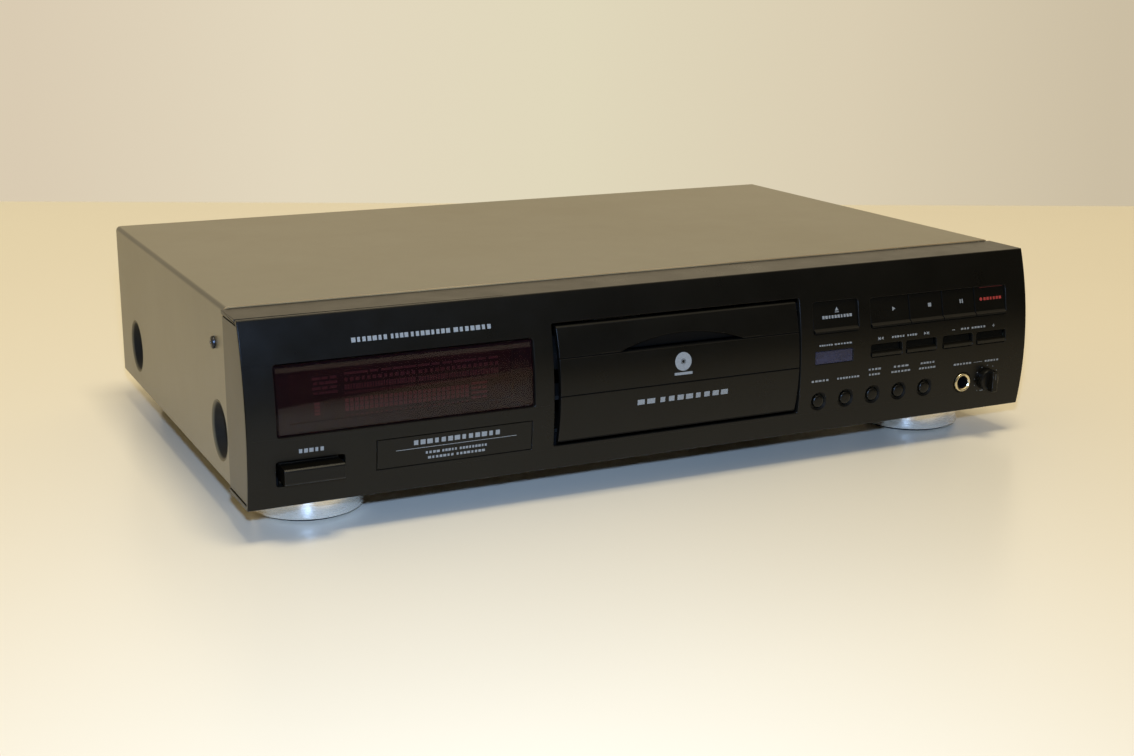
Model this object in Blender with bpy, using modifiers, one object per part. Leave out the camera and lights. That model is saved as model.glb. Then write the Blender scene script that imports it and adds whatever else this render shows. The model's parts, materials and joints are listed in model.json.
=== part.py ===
"""CD recorder with a motor driven disc tray, in metres, +Z up, its front towards -Y.

The origin is the middle of the footprint, on the surface that the feet stand on.
"""

import math

import bmesh
import bpy
from mathutils import Matrix, Vector

# Fits that all pieces share
SEAT_GAP = 0.0003
SLIDE_GAP = 0.0004
OVERRUN = 0.004
WELD = 0.000001
MERGE = 0.00001
ROUND_STEPS = 28
SMALL_STEPS = 14
FINE_STEPS = 10
CORNER_STEPS = 3
SMOOTH_ANGLE = math.radians(35)

# Feet
FOOT_HEIGHT = 0.0159
FOOT_RADIUS = 0.0273
FOOT_EDGE = 0.0012
FOOT_HUB_RADIUS = 0.0100
FOOT_POCKET = 0.0015
PAD_RADIUS = 0.0240
PAD_SHOW = 0.0016
PAD_EDGE = 0.0005
FOOT_MARGIN = 0.0403
FOOT_SETBACK = 0.0395
REAR_FOOT_SETBACK = 0.0400

# Front panel: a curved face with flanges at its top and bottom
PANEL_WIDTH = 0.4350
PANEL_HEIGHT = 0.0861
PANEL_DEPTH = 0.0265
PANEL_WALL = 0.0020
PANEL_LEAN = 0.0049
PANEL_BULGE = 0.00575
FACE_STEPS = 12
END_CAP_THICK = 0.0022
END_CAP_INSET = 0.0005
BOSS_RADIUS = 0.0030
BOSS_INSET = 0.0095
BOSS_MARGIN = 0.0060

# Cover, pan and rear panel
COVER_LENGTH = 0.2440
COVER_INSET = 0.0010
COVER_RISE = 0.0008
SHEET = 0.0010
COVER_BEND = 0.0025
SEAM = 0.0006
PAN_SETUP = 0.0008
PAN_SHOW = 0.0016
PAN_SHEET = 0.0012
PAN_FLANGE = 0.0075
STANDOFF_HEIGHT = 0.0070
STANDOFF_RADIUS = 0.0030
VENT_LENGTH = 0.0300
VENT_WIDTH = 0.0030
VENT_PITCH = 0.0080
VENT_COUNT = 5
VENT_SETBACK = 0.1600
VENT_MARGIN = 0.0752

# Pressed dishes and screws in the cover's sides
DISH_RADIUS = 0.0140
DISH_FLOOR_RADIUS = 0.0105
DISH_DEPTH = 0.0050
DISH_RIM = 0.0008
DISH_SETBACK = 0.0165
DISH_REAR_SETBACK = 0.0420
DISH_RISE = 0.0225
SCREW_HEAD_RADIUS = 0.0030
SCREW_HEAD_HEIGHT = 0.0015
SCREW_CROWN_SHARE = 0.7
SCREW_EDGE_SHARE = 0.45
SCREW_SHANK_RADIUS = 0.0014
SCREW_LENGTH = 0.0060
SCREW_SETBACK = 0.0182
SCREW_RISE = 0.0645

# Display window and the tube behind it
DISPLAY_MARGIN = 0.0138
DISPLAY_RISE = 0.0331
DISPLAY_GAP = 0.0100
DISPLAY_HEIGHT = 0.0329
DISPLAY_CORNER = 0.0015
LENS_GAP = 0.0009
LENS_SINK = 0.0004
LENS_BEVEL = 0.0031
LENS_BEVEL_DROP = 0.0024
FLANGE_LIP = 0.0016
FLANGE_THICK = 0.0012
TUBE_MARGIN = 0.0080
TUBE_BORDER = 0.0030
TUBE_DEPTH = 0.0090

# Power key and the plate beside it
POWER_MARGIN = 0.0130
POWER_RISE = 0.0104
POWER_WIDTH = 0.0320
POWER_HEIGHT = 0.0118
POWER_SIDE_GAP = 0.0019
POWER_END_GAP = 0.0021
POWER_REACH = 0.0070
POWER_EDGE = 0.0009
POWER_TRAVEL = 0.0030
PLATE_INSET = 0.0015
PLATE_RISE = 0.0119
PLATE_OFFSET = 0.0150
PLATE_HEIGHT = 0.0147
PLATE_THICK = 0.0008
PLATE_GAP = 0.0004

# Tray opening and the door that closes it
APERTURE_RISE = 0.0118
APERTURE_WIDTH = 0.1392
APERTURE_HEIGHT = 0.0600
APERTURE_CORNER = 0.0010
DOOR_SIDE_GAP = 0.0023
DOOR_END_GAP = 0.0015
DOOR_BULGE = 0.0046
DOOR_WALL = 0.0024
DOOR_STEPS = 12
GROOVE_WIDTH = 0.0006
GROOVE_DEPTH = 0.0006
LOWER_GROOVE_RISE = 0.0369
UPPER_GROOVE_RISE = 0.0552
NOTCH_HALF = 0.0355
NOTCH_HEIGHT = 0.0066
NOTCH_DEPTH = 0.0042
NOTCH_STEPS = 12
NOTCH_FRAME = 0.0016
DOOR_BLOCK_WIDTH = 0.0900

# Controls right of the door
CONTROL_MARGIN = 0.0139
CONTROL_GAP = 0.0078
OPEN_WIDTH = 0.0280
KEY_ROW_RISE = 0.0524
OPEN_HEIGHT = 0.0165
TRANSPORT_GAP = 0.0076
TRANSPORT_WIDTH = 0.0890
TRANSPORT_HEIGHT = 0.0158
KEY_CORNER = 0.0012
PLAY_WIDTH = 0.0252
RECORD_WIDTH = 0.0207
KEY_TRAVEL = 0.0010
KEY_TOP_SINK = 0.0012
KEY_LIP_HEIGHT = 0.0022
KEY_LIP_REACH = 0.0018
KEY_LIP_EDGE = 0.0008
KEY_WAIST_SINK = 0.0004
STEM_HEIGHT = 0.0024
SMALL_RISE = 0.0370
SMALL_WIDTH = 0.0200
SMALL_HEIGHT = 0.0070
SMALL_PITCH = 0.0225
SMALL_TOP_SINK = 0.0028
SMALL_LIP_HEIGHT = 0.0026
SMALL_LIP_REACH = 0.0006
SMALL_LIP_EDGE = 0.0005
SMALL_WAIST_SINK = 0.0018
SENSOR_INSET = 0.0011
SENSOR_RISE = 0.0365
SENSOR_WIDTH = 0.0234
SENSOR_HEIGHT = 0.0071
SENSOR_SINK = 0.0003
SENSOR_CORNER = 0.0007
LOW_ROW_RISE = 0.0169
ROUND_INSET = 0.0045
ROUND_PITCH = 0.0169
ROUND_COUNT = 5
ROUND_RADIUS = 0.0033
ROUND_HOLE = 0.0038
ROUND_SINK_RADIUS = 0.0047
ROUND_SINK_DEPTH = 0.0009
ROUND_DOME = 0.0009
ROUND_REACH = 0.0003
ROUND_FLANGE = 0.0048
ROUND_STEM = 0.0014
ROUND_TRAVEL = 0.0012
KNOB_INSET = 0.0109
KNOB_RADIUS = 0.0060
KNOB_BASE = 0.0040
KNOB_STANDOFF = 0.0008
KNOB_REACH = 0.0080
KNOB_EDGE = 0.0005
KNOB_BAR = 0.0034
KNOB_SHAFT = 0.0028
KNOB_HOLE = 0.0034
JACK_PITCH = 0.0163
JACK_RING_RADIUS = 0.0052
JACK_RING_REACH = 0.0011
JACK_RING_EDGE = 0.0004
JACK_SEAT_RADIUS = 0.0058
JACK_SEAT_DEPTH = 0.0008
JACK_BARREL_RADIUS = 0.0041
JACK_BORE_RADIUS = 0.0032
JACK_BORE_DEPTH = 0.0160
JACK_BODY = 0.0130

# Board behind the front panel
BOARD_SETBACK = 0.0130
BOARD_THICK = 0.0016
BOARD_MARGIN = 0.0045
BOARD_EDGE = 0.0020
POT_SIZE = 0.0120
POT_DEPTH = 0.0060

# Disc tray
TRAY_WIDTH = 0.1300
TRAY_RISE = 0.0478
TRAY_THICK = 0.0080
TRAY_LENGTH = 0.1920
TRAY_ARM_THICK = 0.0042
TRAY_ARM_MARGIN = 0.0030
SPINDLE_SETBACK = 0.0700
DISC_RADIUS = 0.0600
WELL_CLEARANCE = 0.0012
WELL_DEPTH = 0.0046
SMALL_DISC_RADIUS = 0.0405
SMALL_WELL_DEPTH = 0.0009
SLOT_WIDTH = 0.0420
SLOT_FRONT = 0.0190
WELL_STEPS = 44

# Rack, gear, pulleys and belt of the tray drive
GEAR_MODULE = 0.0010
GEAR_TEETH = 16
TOOTH_TIP_SHARE = 0.11
TOOTH_ROOT_SHARE = 0.24
ADDENDUM_SHARE = 0.8
DEDENDUM_SHARE = 1.1
RACK_OFFSET = 0.0545
RACK_BACK = 0.0018
RACK_DROP = 0.0055
RACK_MARGIN = 0.0080
GEAR_SETBACK = 0.0410
GEAR_HEIGHT = 0.0046
GEAR_TOP_GAP = 0.0008
GEAR_HUB_RADIUS = 0.0045
POST_RADIUS = 0.0015
PULLEY_RADIUS = 0.0105
PULLEY_RIM = 0.0016
PULLEY_WALL = 0.0010
MOTOR_PULLEY_RADIUS = 0.0025
BELT_THICK = 0.0012
BELT_HEIGHT = 0.0014
BELT_SPAN = 0.0400
MOTOR_RADIUS = 0.0110
MOTOR_LENGTH = 0.0170
MOTOR_SHAFT = 0.0010
MOTOR_HOLE = 0.0030

# Loader frame and disc clamp
LOADER_SETBACK = 0.0290
LOADER_LENGTH = 0.1830
LOADER_WALL = 0.0020
LOADER_FLOOR_RISE = 0.0240
LOADER_FLOOR_DEPTH = 0.0230
LOADER_BEAM_DEPTH = 0.0100
LEDGE_REACH = 0.0040
LEDGE_THICK = 0.0020
LIP_REACH = 0.0026
LIP_THICK = 0.0020
WALL_ABOVE_LIP = 0.0020
LEG_DEPTH = 0.0080
LEG_WIDTH = 0.0060
BRIDGE_DEPTH = 0.0240
BRIDGE_THICK = 0.0015
BRIDGE_HOLE = 0.0092
PUCK_RADIUS = 0.0160
PUCK_THICK = 0.0040
PUCK_NECK = 0.0084
PUCK_CAP = 0.0115
PUCK_CAP_THICK = 0.0014
PUCK_EDGE = 0.0006

# Traverse with the turntable and the pickup
TRAVERSE_WIDTH = 0.0800
TRAVERSE_THICK = 0.0040
TRAVERSE_DROP = 0.0078
TRAVERSE_FRONT = 0.0160
TRAVERSE_REAR = 0.0040
PIVOT_SETBACK = 0.1180
PIVOT_RADIUS = 0.0020
PIVOT_DEPTH = 0.0015
SPINDLE_MOTOR_RADIUS = 0.0120
SPINDLE_MOTOR_DEPTH = 0.0055
TURNTABLE_RADIUS = 0.0150
TURNTABLE_HUB = 0.0060
TURNTABLE_THICK = 0.0020
CENTRING_RADIUS = 0.0073
CENTRING_HEIGHT = 0.0025
CENTRING_TAPER = 0.0016
DISC_LIFT = 0.0008
PUCK_GAP = 0.0005
WINDOW_FRONT = 0.0160
WINDOW_LENGTH = 0.0640
WINDOW_LEFT = 0.0270
WINDOW_RIGHT = 0.0330
ROD_OFFSET = 0.0200
ROD_RADIUS = 0.0015
SCREW_OFFSET = 0.0290
FEED_RADIUS = 0.0018
FEED_ROOT = 0.0013
FEED_PITCH = 0.0060
SLED_HALF = 0.0240
SLED_LENGTH = 0.0240
SLED_FRONT_GAP = 0.0005
SLED_BELOW = 0.0045
SLED_ABOVE = 0.0045
SLED_NUT_GAP = 0.0005
SLED_NUT_LENGTH = 0.0080
LENS_RADIUS = 0.0045
LENS_TOP_GAP = 0.0020
LENS_INSET = 0.0065

# Boards, transformer and the sockets in the rear panel
POWER_BOARD_LENGTH = 0.1150
BAY_CLEARANCE = 0.0192
MAIN_BOARD_LENGTH = 0.1450
BAY_MARGIN = 0.0090
BAY_REAR = 0.0140
CAPACITOR_RADIUS = 0.0110
CAPACITOR_HEIGHT = 0.0300
SINK_THICK = 0.0060
SINK_LENGTH = 0.0600
SINK_HEIGHT = 0.0300
CHIP_SIZE = 0.0240
CHIP_HEIGHT = 0.0030
TRANSFORMER_WIDTH = 0.0620
TRANSFORMER_LENGTH = 0.0440
TRANSFORMER_HEIGHT = 0.0500
COIL_BULGE = 0.0090
COIL_HEIGHT = 0.0320
TRANSFORMER_SETBACK = 0.0500
TRANSFORMER_INSET = 0.0296
JACK_REACH = 0.0080
RCA_RADIUS = 0.0042
RCA_BORE = 0.0018
RCA_BORE_DEPTH = 0.0060
RCA_HOLE_GAP = 0.0006
RCA_PITCH = 0.0180
RCA_RISE = 0.0560
BLOCK_DEPTH = 0.0120
BLOCK_BORDER = 0.0070
ANALOG_MARGIN = 0.1252
DIGITAL_MARGIN = 0.0652
OPTICAL_SIZE = 0.0100
OPTICAL_REACH = 0.0030
INLET_MARGIN = 0.0372
INLET_RISE = 0.0280
INLET_WIDTH = 0.0260
INLET_HEIGHT = 0.0180
INLET_DEPTH = 0.0160
INLET_BEZEL = 0.0020
INLET_REACH = 0.0020
SOCKET_WIDTH = 0.0176
SOCKET_HEIGHT = 0.0094
SOCKET_ROUND_SHARE = 0.49
SOCKET_DEPTH = 0.0130
PIN_SPACING = 0.0086
PIN_RADIUS = 0.0012
PIN_LENGTH = 0.0100

COLLECTION_NAME = "cd_recorder"

for leftover in list(bpy.data.objects):
    bpy.data.objects.remove(leftover, do_unlink=True)

PARTS = bpy.data.collections.new(COLLECTION_NAME)
CUTTERS = bpy.data.collections.new("cutters")
bpy.context.scene.collection.children.link(PARTS)
bpy.context.scene.collection.children.link(CUTTERS)


# The curve of the front, before it is placed along Y

def bulged_arc(top, bottom, bulge):
    """Centre and radius of the arc through two (y, z) points that bulges towards -Y."""
    chord = Vector((top[0] - bottom[0], top[1] - bottom[1]))
    radius = chord.length ** 2 / (8 * bulge) + bulge / 2
    middle = Vector((top[0] + bottom[0], top[1] + bottom[1])) / 2
    inward = Vector((chord.y, -chord.x)).normalized()
    return middle + inward * (radius - bulge), radius


def arc_y(arc, z):
    """The arc's Y at a height."""
    centre, radius = arc
    return centre.x - math.sqrt(radius ** 2 - (z - centre.y) ** 2)


panel_bottom = FOOT_HEIGHT + SEAT_GAP
panel_top = panel_bottom + PANEL_HEIGHT
low_row = panel_bottom + LOW_ROW_RISE
loose_face = bulged_arc((0, panel_top), (-PANEL_LEAN, panel_bottom), PANEL_BULGE)

# Y of the main planes, with the footprint centred on the origin
front_reach = KNOB_REACH - arc_y(loose_face, low_row)
rear_reach = PANEL_DEPTH + SEAM + COVER_LENGTH + JACK_REACH
face_plane = (front_reach - rear_reach) / 2
panel_rear = face_plane + PANEL_DEPTH
cover_front = panel_rear + SEAM
case_rear = cover_front + COVER_LENGTH
FACE = bulged_arc((face_plane, panel_top), (face_plane - PANEL_LEAN, panel_bottom), PANEL_BULGE)

# Heights and half widths of the case
pan_bottom = panel_bottom + PAN_SETUP
pan_top = pan_bottom + PAN_SHEET
cover_top = panel_top + COVER_RISE
cover_skirt = pan_bottom + PAN_SHOW
cover_half = PANEL_WIDTH / 2 - COVER_INSET
inner_half = cover_half - SHEET - SEAT_GAP
inner_top = cover_top - SHEET - SEAT_GAP
board_front = face_plane + BOARD_SETBACK
board_rear = board_front + BOARD_THICK

# Openings in the face, as (left, right, bottom, top)
def opening(left, width, rise, height):
    """An opening's edges, from its left edge and its rise above the panel's bottom."""
    bottom = panel_bottom + rise
    return left, left + width, bottom, bottom + height


panel_left = -PANEL_WIDTH / 2
transport_left = PANEL_WIDTH / 2 - CONTROL_MARGIN - TRANSPORT_WIDTH
control_left = transport_left - TRANSPORT_GAP - OPEN_WIDTH
aperture_left = control_left - CONTROL_GAP - APERTURE_WIDTH
tray_centre = aperture_left + APERTURE_WIDTH / 2
aperture = opening(aperture_left, APERTURE_WIDTH, APERTURE_RISE, APERTURE_HEIGHT)
display_left = panel_left + DISPLAY_MARGIN
display_width = aperture_left - DISPLAY_GAP - display_left
display_hole = opening(display_left, display_width, DISPLAY_RISE, DISPLAY_HEIGHT)
power_hole = opening(panel_left + POWER_MARGIN, POWER_WIDTH, POWER_RISE, POWER_HEIGHT)
plate_left = power_hole[1] + PLATE_OFFSET
plate_seat = opening(plate_left, display_hole[1] - PLATE_INSET - plate_left, PLATE_RISE, PLATE_HEIGHT)
open_hole = opening(control_left, OPEN_WIDTH, KEY_ROW_RISE, OPEN_HEIGHT)
transport_hole = opening(transport_left, TRANSPORT_WIDTH, KEY_ROW_RISE, TRANSPORT_HEIGHT)
sensor_hole = opening(control_left + SENSOR_INSET, SENSOR_WIDTH, SENSOR_RISE, SENSOR_HEIGHT)
level_left = transport_hole[1] - SMALL_PITCH - SMALL_WIDTH
small_lefts = {
    "skip_back_key": transport_left,
    "skip_forward_key": transport_left + SMALL_PITCH,
    "level_down_key": level_left,
    "level_up_key": level_left + SMALL_PITCH,
}
small_holes = {
    name: opening(left, SMALL_WIDTH, SMALL_RISE, SMALL_HEIGHT) for name, left in small_lefts.items()
}
round_names = ["erase_key", "finalize_key", "sync_key", "auto_key", "input_key"][:ROUND_COUNT]
round_xs = [control_left + ROUND_INSET + ROUND_PITCH * place for place in range(len(round_names))]
knob_x = transport_hole[1] - KNOB_INSET
jack_x = knob_x - JACK_PITCH


# Making and joining solids

def add_mesh(name, build, place=(0, 0, 0), group=PARTS):
    """Write a bmesh into a new object whose origin is at place."""
    mesh = bpy.data.meshes.new(name)
    build.to_mesh(mesh)
    build.free()
    made = bpy.data.objects.new(name, mesh)
    made.location = place
    group.objects.link(made)
    return made


def box(name, low, high, group=PARTS):
    """A block between two corners."""
    low = Vector(low)
    size = Vector(high) - low
    build = bmesh.new()
    bmesh.ops.create_cube(build, size=1)
    bmesh.ops.scale(build, vec=size, verts=build.verts)
    return add_mesh(name, build, low + size / 2, group)


def drum(name, centre, radius, depth, along="Z", steps=ROUND_STEPS, group=PARTS, far_radius=None):
    """A cylinder or cone about its centre; far_radius is the radius at its +axis end."""
    build = bmesh.new()
    far = radius if far_radius is None else far_radius
    bmesh.ops.create_cone(build, cap_ends=True, segments=steps, radius1=radius, radius2=far, depth=depth)
    made = add_mesh(name, build, centre, group)
    made.matrix_world = Matrix.Translation(Vector(centre)) @ AXIS_TURNS[along]
    smooth(made)
    return made


AXIS_TURNS = {
    "X": Matrix.Rotation(math.pi / 2, 4, "Y"),
    "Y": Matrix.Rotation(-math.pi / 2, 4, "X"),
    "-Y": Matrix.Rotation(math.pi / 2, 4, "X"),
    "-X": Matrix.Rotation(-math.pi / 2, 4, "Y"),
    "Z": Matrix.Identity(4),
}

# Axes of an outline's plane: (y, z) drawn out along X, (x, z) along Y, (x, y) along Z
OUTLINE_FRAMES = {
    "X": Matrix(((0, 0, 1, 0), (1, 0, 0, 0), (0, 1, 0, 0), (0, 0, 0, 1))),
    "Y": Matrix(((1, 0, 0, 0), (0, 0, -1, 0), (0, 1, 0, 0), (0, 0, 0, 1))),
    "Z": Matrix.Identity(4),
}


def smooth(made):
    """Shade round faces smooth and keep real edges sharp."""
    made.data.shade_smooth()
    made.data.set_sharp_from_angle(angle=SMOOTH_ANGLE)


def prism(name, outline, along, start, end, group=PARTS):
    """A flat outline, filled and drawn out along X, Y or Z from start to end."""
    curve = bpy.data.curves.new(name, "CURVE")
    curve.dimensions = "2D"
    curve.fill_mode = "BOTH"
    curve.extrude = (end - start) / 2
    spline = curve.splines.new("POLY")
    spline.points.add(len(outline) - 1)
    for point, (across, up) in zip(spline.points, outline):
        point.co = (across, up, 0, 1)
    spline.use_cyclic_u = True
    sheet = bpy.data.objects.new(name + "_outline", curve)
    group.objects.link(sheet)
    shift = Vector(((start + end) / 2 if axis == along else 0 for axis in "XYZ"))
    sheet.matrix_world = Matrix.Translation(shift) @ OUTLINE_FRAMES[along]
    bpy.context.view_layer.update()
    return meshed(name, sheet, group)


def meshed(name, curve_object, group):
    """Turn a curve object into a mesh object with welded caps."""
    view = bpy.context.evaluated_depsgraph_get()
    mesh = bpy.data.meshes.new_from_object(curve_object.evaluated_get(view))
    build = bmesh.new()
    build.from_mesh(mesh)
    bmesh.ops.remove_doubles(build, verts=build.verts, dist=WELD)
    bmesh.ops.recalc_face_normals(build, faces=build.faces)
    build.to_mesh(mesh)
    build.free()
    made = bpy.data.objects.new(name, mesh)
    made.matrix_world = curve_object.matrix_world
    group.objects.link(made)
    bpy.data.objects.remove(curve_object, do_unlink=True)
    return made


def turned(name, profile, place, along="Z", steps=ROUND_STEPS, group=PARTS):
    """A profile of (radius, height) points, from top to bottom, turned about an axis."""
    build = bmesh.new()
    points = [build.verts.new((radius, 0, height)) for radius, height in profile]
    for first, second in zip(points, points[1:]):
        build.edges.new((first, second))
    made = add_mesh(name, build, place, group)
    made.matrix_world = Matrix.Translation(Vector(place)) @ AXIS_TURNS[along]
    screw = made.modifiers.new("turn", "SCREW")
    screw.steps = steps
    screw.render_steps = steps
    screw.use_merge_vertices = True
    screw.merge_threshold = MERGE
    screw.use_normal_calculate = False
    screw.use_smooth_shade = True
    return made


def combine(target, tools, operation):
    """Cut the tools out of the target, or join them to it."""
    for tool in tools:
        change = target.modifiers.new(tool.name, "BOOLEAN")
        change.operation = operation
        change.solver = "EXACT"
        change.object = tool
        tool.hide_render = True
        tool.display_type = "WIRE"
        for owner in list(tool.users_collection):
            owner.objects.unlink(tool)
        CUTTERS.objects.link(tool)
    return target


def cut(target, *tools):
    """Remove the tools' volume from the target."""
    return combine(target, tools, "DIFFERENCE")


def join(target, *tools):
    """Add the tools' volume to the target."""
    return combine(target, tools, "UNION")


def rounded(left, right, bottom, top, radius):
    """Outline of a rectangle with rounded corners."""
    corners = [
        (right - radius, top - radius, 0),
        (left + radius, top - radius, 90),
        (left + radius, bottom + radius, 180),
        (right - radius, bottom + radius, 270),
    ]
    outline = []
    for across, up, turn in corners:
        for step in range(CORNER_STEPS + 1):
            angle = math.radians(turn + 90 * step / CORNER_STEPS)
            outline.append((across + radius * math.cos(angle), up + radius * math.sin(angle)))
    return outline


def spread(first, last, steps):
    """Evenly spaced values from first to last, both included."""
    return [first + (last - first) * step / steps for step in range(steps + 1)]


def curved_slab(arc, bottom, top, front, back, steps):
    """Outline between two copies of an arc, moved back along Y by front and back."""
    heights = spread(bottom, top, steps)
    outer = [(arc_y(arc, z) + front, z) for z in heights]
    inner = [(arc_y(arc, z) + back, z) for z in reversed(heights)]
    return outer + inner


def colour(made, shade, roughness, metallic=0.0):
    """Give a piece its own material."""
    material = bpy.data.materials.new(made.name)
    material.use_nodes = True
    shader = material.node_tree.nodes["Principled BSDF"]
    shader.inputs["Base Color"].default_value = (*shade, 1.0)
    shader.inputs["Roughness"].default_value = roughness
    shader.inputs["Metallic"].default_value = metallic
    material.diffuse_color = (*shade, 1.0)
    made.data.materials.clear()
    made.data.materials.append(material)
    return made


# Colours, as the photograph shows them
FACE_BLACK = (0.012, 0.011, 0.009)
KEY_BLACK = (0.008, 0.008, 0.007)
CASE_BROWN = (0.110, 0.095, 0.068)
SILVER = (0.600, 0.600, 0.600)
STEEL = (0.420, 0.420, 0.410)
RUBBER = (0.015, 0.015, 0.015)
SMOKE = (0.020, 0.004, 0.004)
SENSOR_TINT = (0.030, 0.026, 0.045)
GOLD = (0.600, 0.480, 0.250)
BOARD_GREEN = (0.030, 0.120, 0.050)
MOULDING = (0.030, 0.030, 0.032)
PALE_MOULDING = (0.450, 0.450, 0.430)
COPPER = (0.450, 0.180, 0.080)


# Case

def make_front_panel():
    """The curved face with its flanges, its openings and the bosses for the board."""
    inner_bottom = panel_bottom + PANEL_WALL
    inner_ceiling = panel_top - PANEL_WALL
    outline = [(arc_y(FACE, z), z) for z in spread(panel_top, panel_bottom, FACE_STEPS)]
    outline += [(panel_rear, panel_bottom), (panel_rear, inner_bottom)]
    outline += [(arc_y(FACE, z) + PANEL_WALL, z) for z in spread(inner_bottom, inner_ceiling, FACE_STEPS)]
    outline += [(panel_rear, inner_ceiling), (panel_rear, panel_top)]
    panel = prism("front_panel", outline, "X", -PANEL_WIDTH / 2, PANEL_WIDTH / 2)
    boss_x = PANEL_WIDTH / 2 - BOSS_INSET
    boss_end = board_front - SEAT_GAP
    for side in (-1, 1):
        for height in (inner_bottom + BOSS_MARGIN, inner_ceiling - BOSS_MARGIN):
            boss_start = arc_y(FACE, height) + PANEL_WALL / 2
            centre = (side * boss_x, (boss_start + boss_end) / 2, height)
            join(panel, drum("panel_boss", centre, BOSS_RADIUS, boss_end - boss_start, "Y", SMALL_STEPS))
    front = face_plane - PANEL_LEAN - PANEL_BULGE - OVERRUN
    back = face_plane + PANEL_WALL + OVERRUN
    corners = [
        (display_hole, DISPLAY_CORNER), (power_hole, KEY_CORNER), (aperture, APERTURE_CORNER),
        (open_hole, KEY_CORNER), (transport_hole, KEY_CORNER), (sensor_hole, SENSOR_CORNER),
    ]
    corners += [(hole, KEY_CORNER) for hole in small_holes.values()]
    for hole, radius in corners:
        cut(panel, prism("panel_opening", rounded(*hole, radius), "Y", front, back))
    for x in round_xs:
        cut(panel, *round_hole_cutters(x, front, back))
    row_face = arc_y(FACE, low_row)
    middle = (front + back) / 2
    cut(panel, drum("knob_hole", (knob_x, middle, low_row), KNOB_HOLE, back - front, "Y", SMALL_STEPS))
    barrel_hole = JACK_BARREL_RADIUS + SLIDE_GAP
    cut(panel, drum("jack_hole", (jack_x, middle, low_row), barrel_hole, back - front, "Y", SMALL_STEPS))
    seat_end = row_face + JACK_SEAT_DEPTH
    seat_middle = (jack_x, (front + seat_end) / 2, low_row)
    cut(panel, drum("jack_seat", seat_middle, JACK_SEAT_RADIUS, seat_end - front, "Y", SMALL_STEPS))
    pocket = PLATE_THICK + SEAT_GAP
    left, right, bottom, top = plate_seat
    slab = curved_slab(FACE, bottom, top, -OVERRUN, pocket, FACE_STEPS // 2)
    cut(panel, prism("plate_pocket", slab, "X", left, right))
    return colour(panel, FACE_BLACK, 0.35)


def round_hole_cutters(x, front, back):
    """The hole of a round key with a wider cone at the face."""
    through = drum("round_hole", (x, (front + back) / 2, low_row), ROUND_HOLE, back - front, "Y", SMALL_STEPS)
    slope = (ROUND_SINK_RADIUS - ROUND_HOLE) / ROUND_SINK_DEPTH
    deep_end = arc_y(FACE, low_row) + ROUND_SINK_DEPTH
    wide_end = deep_end - ROUND_SINK_DEPTH * 2
    wide = ROUND_HOLE + slope * ROUND_SINK_DEPTH * 2
    centre = (x, (wide_end + deep_end) / 2, low_row)
    cone = drum("round_sink", centre, wide, deep_end - wide_end, "Y", SMALL_STEPS, far_radius=ROUND_HOLE)
    return through, cone


def make_end_caps():
    """The two plates that close the ends of the front panel."""
    low = panel_bottom + PANEL_WALL + SEAT_GAP
    high = panel_top - PANEL_WALL - SEAT_GAP
    front = PANEL_WALL + SEAT_GAP
    outline = [(arc_y(FACE, z) + front, z) for z in spread(high, low, FACE_STEPS)]
    outline += [(panel_rear, low), (panel_rear, high)]
    outer = PANEL_WIDTH / 2 - END_CAP_INSET
    inner = outer - END_CAP_THICK
    colour(prism("end_cap_left", outline, "X", -outer, -inner), CASE_BROWN, 0.45)
    colour(prism("end_cap_right", outline, "X", inner, outer), CASE_BROWN, 0.45)


def make_info_plate():
    """The thin plate under the display, flush with the face."""
    left, right, bottom, top = plate_seat
    low = bottom + PLATE_GAP
    high = top - PLATE_GAP
    slab = curved_slab(FACE, low, high, 0, PLATE_THICK, FACE_STEPS // 2)
    colour(prism("info_plate", slab, "X", left + PLATE_GAP, right - PLATE_GAP), FACE_BLACK, 0.35)


def cover_outline():
    """Section of the folded cover, outside and inside, with its rounded bends."""
    def bend(half, top, radius):
        points = []
        for step in range(CORNER_STEPS + 1):
            angle = math.radians(90 * step / CORNER_STEPS)
            points.append((half - radius + radius * math.cos(angle), top - radius + radius * math.sin(angle)))
        return points

    outer = bend(cover_half, cover_top, COVER_BEND)
    inner = bend(cover_half - SHEET, cover_top - SHEET, COVER_BEND - SHEET)
    outer_side = [(cover_half, cover_skirt)] + outer
    inner_side = [(cover_half - SHEET, cover_skirt)] + inner
    outer_loop = outer_side + [(-x, z) for x, z in reversed(outer_side)]
    inner_loop = inner_side + [(-x, z) for x, z in reversed(inner_side)]
    return outer_loop + list(reversed(inner_loop))


dish_ys = (cover_front + DISH_SETBACK, case_rear - DISH_REAR_SETBACK)
dish_z = cover_skirt + DISH_RISE
screw_y = cover_front + SCREW_SETBACK
screw_z = cover_skirt + SCREW_RISE


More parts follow.
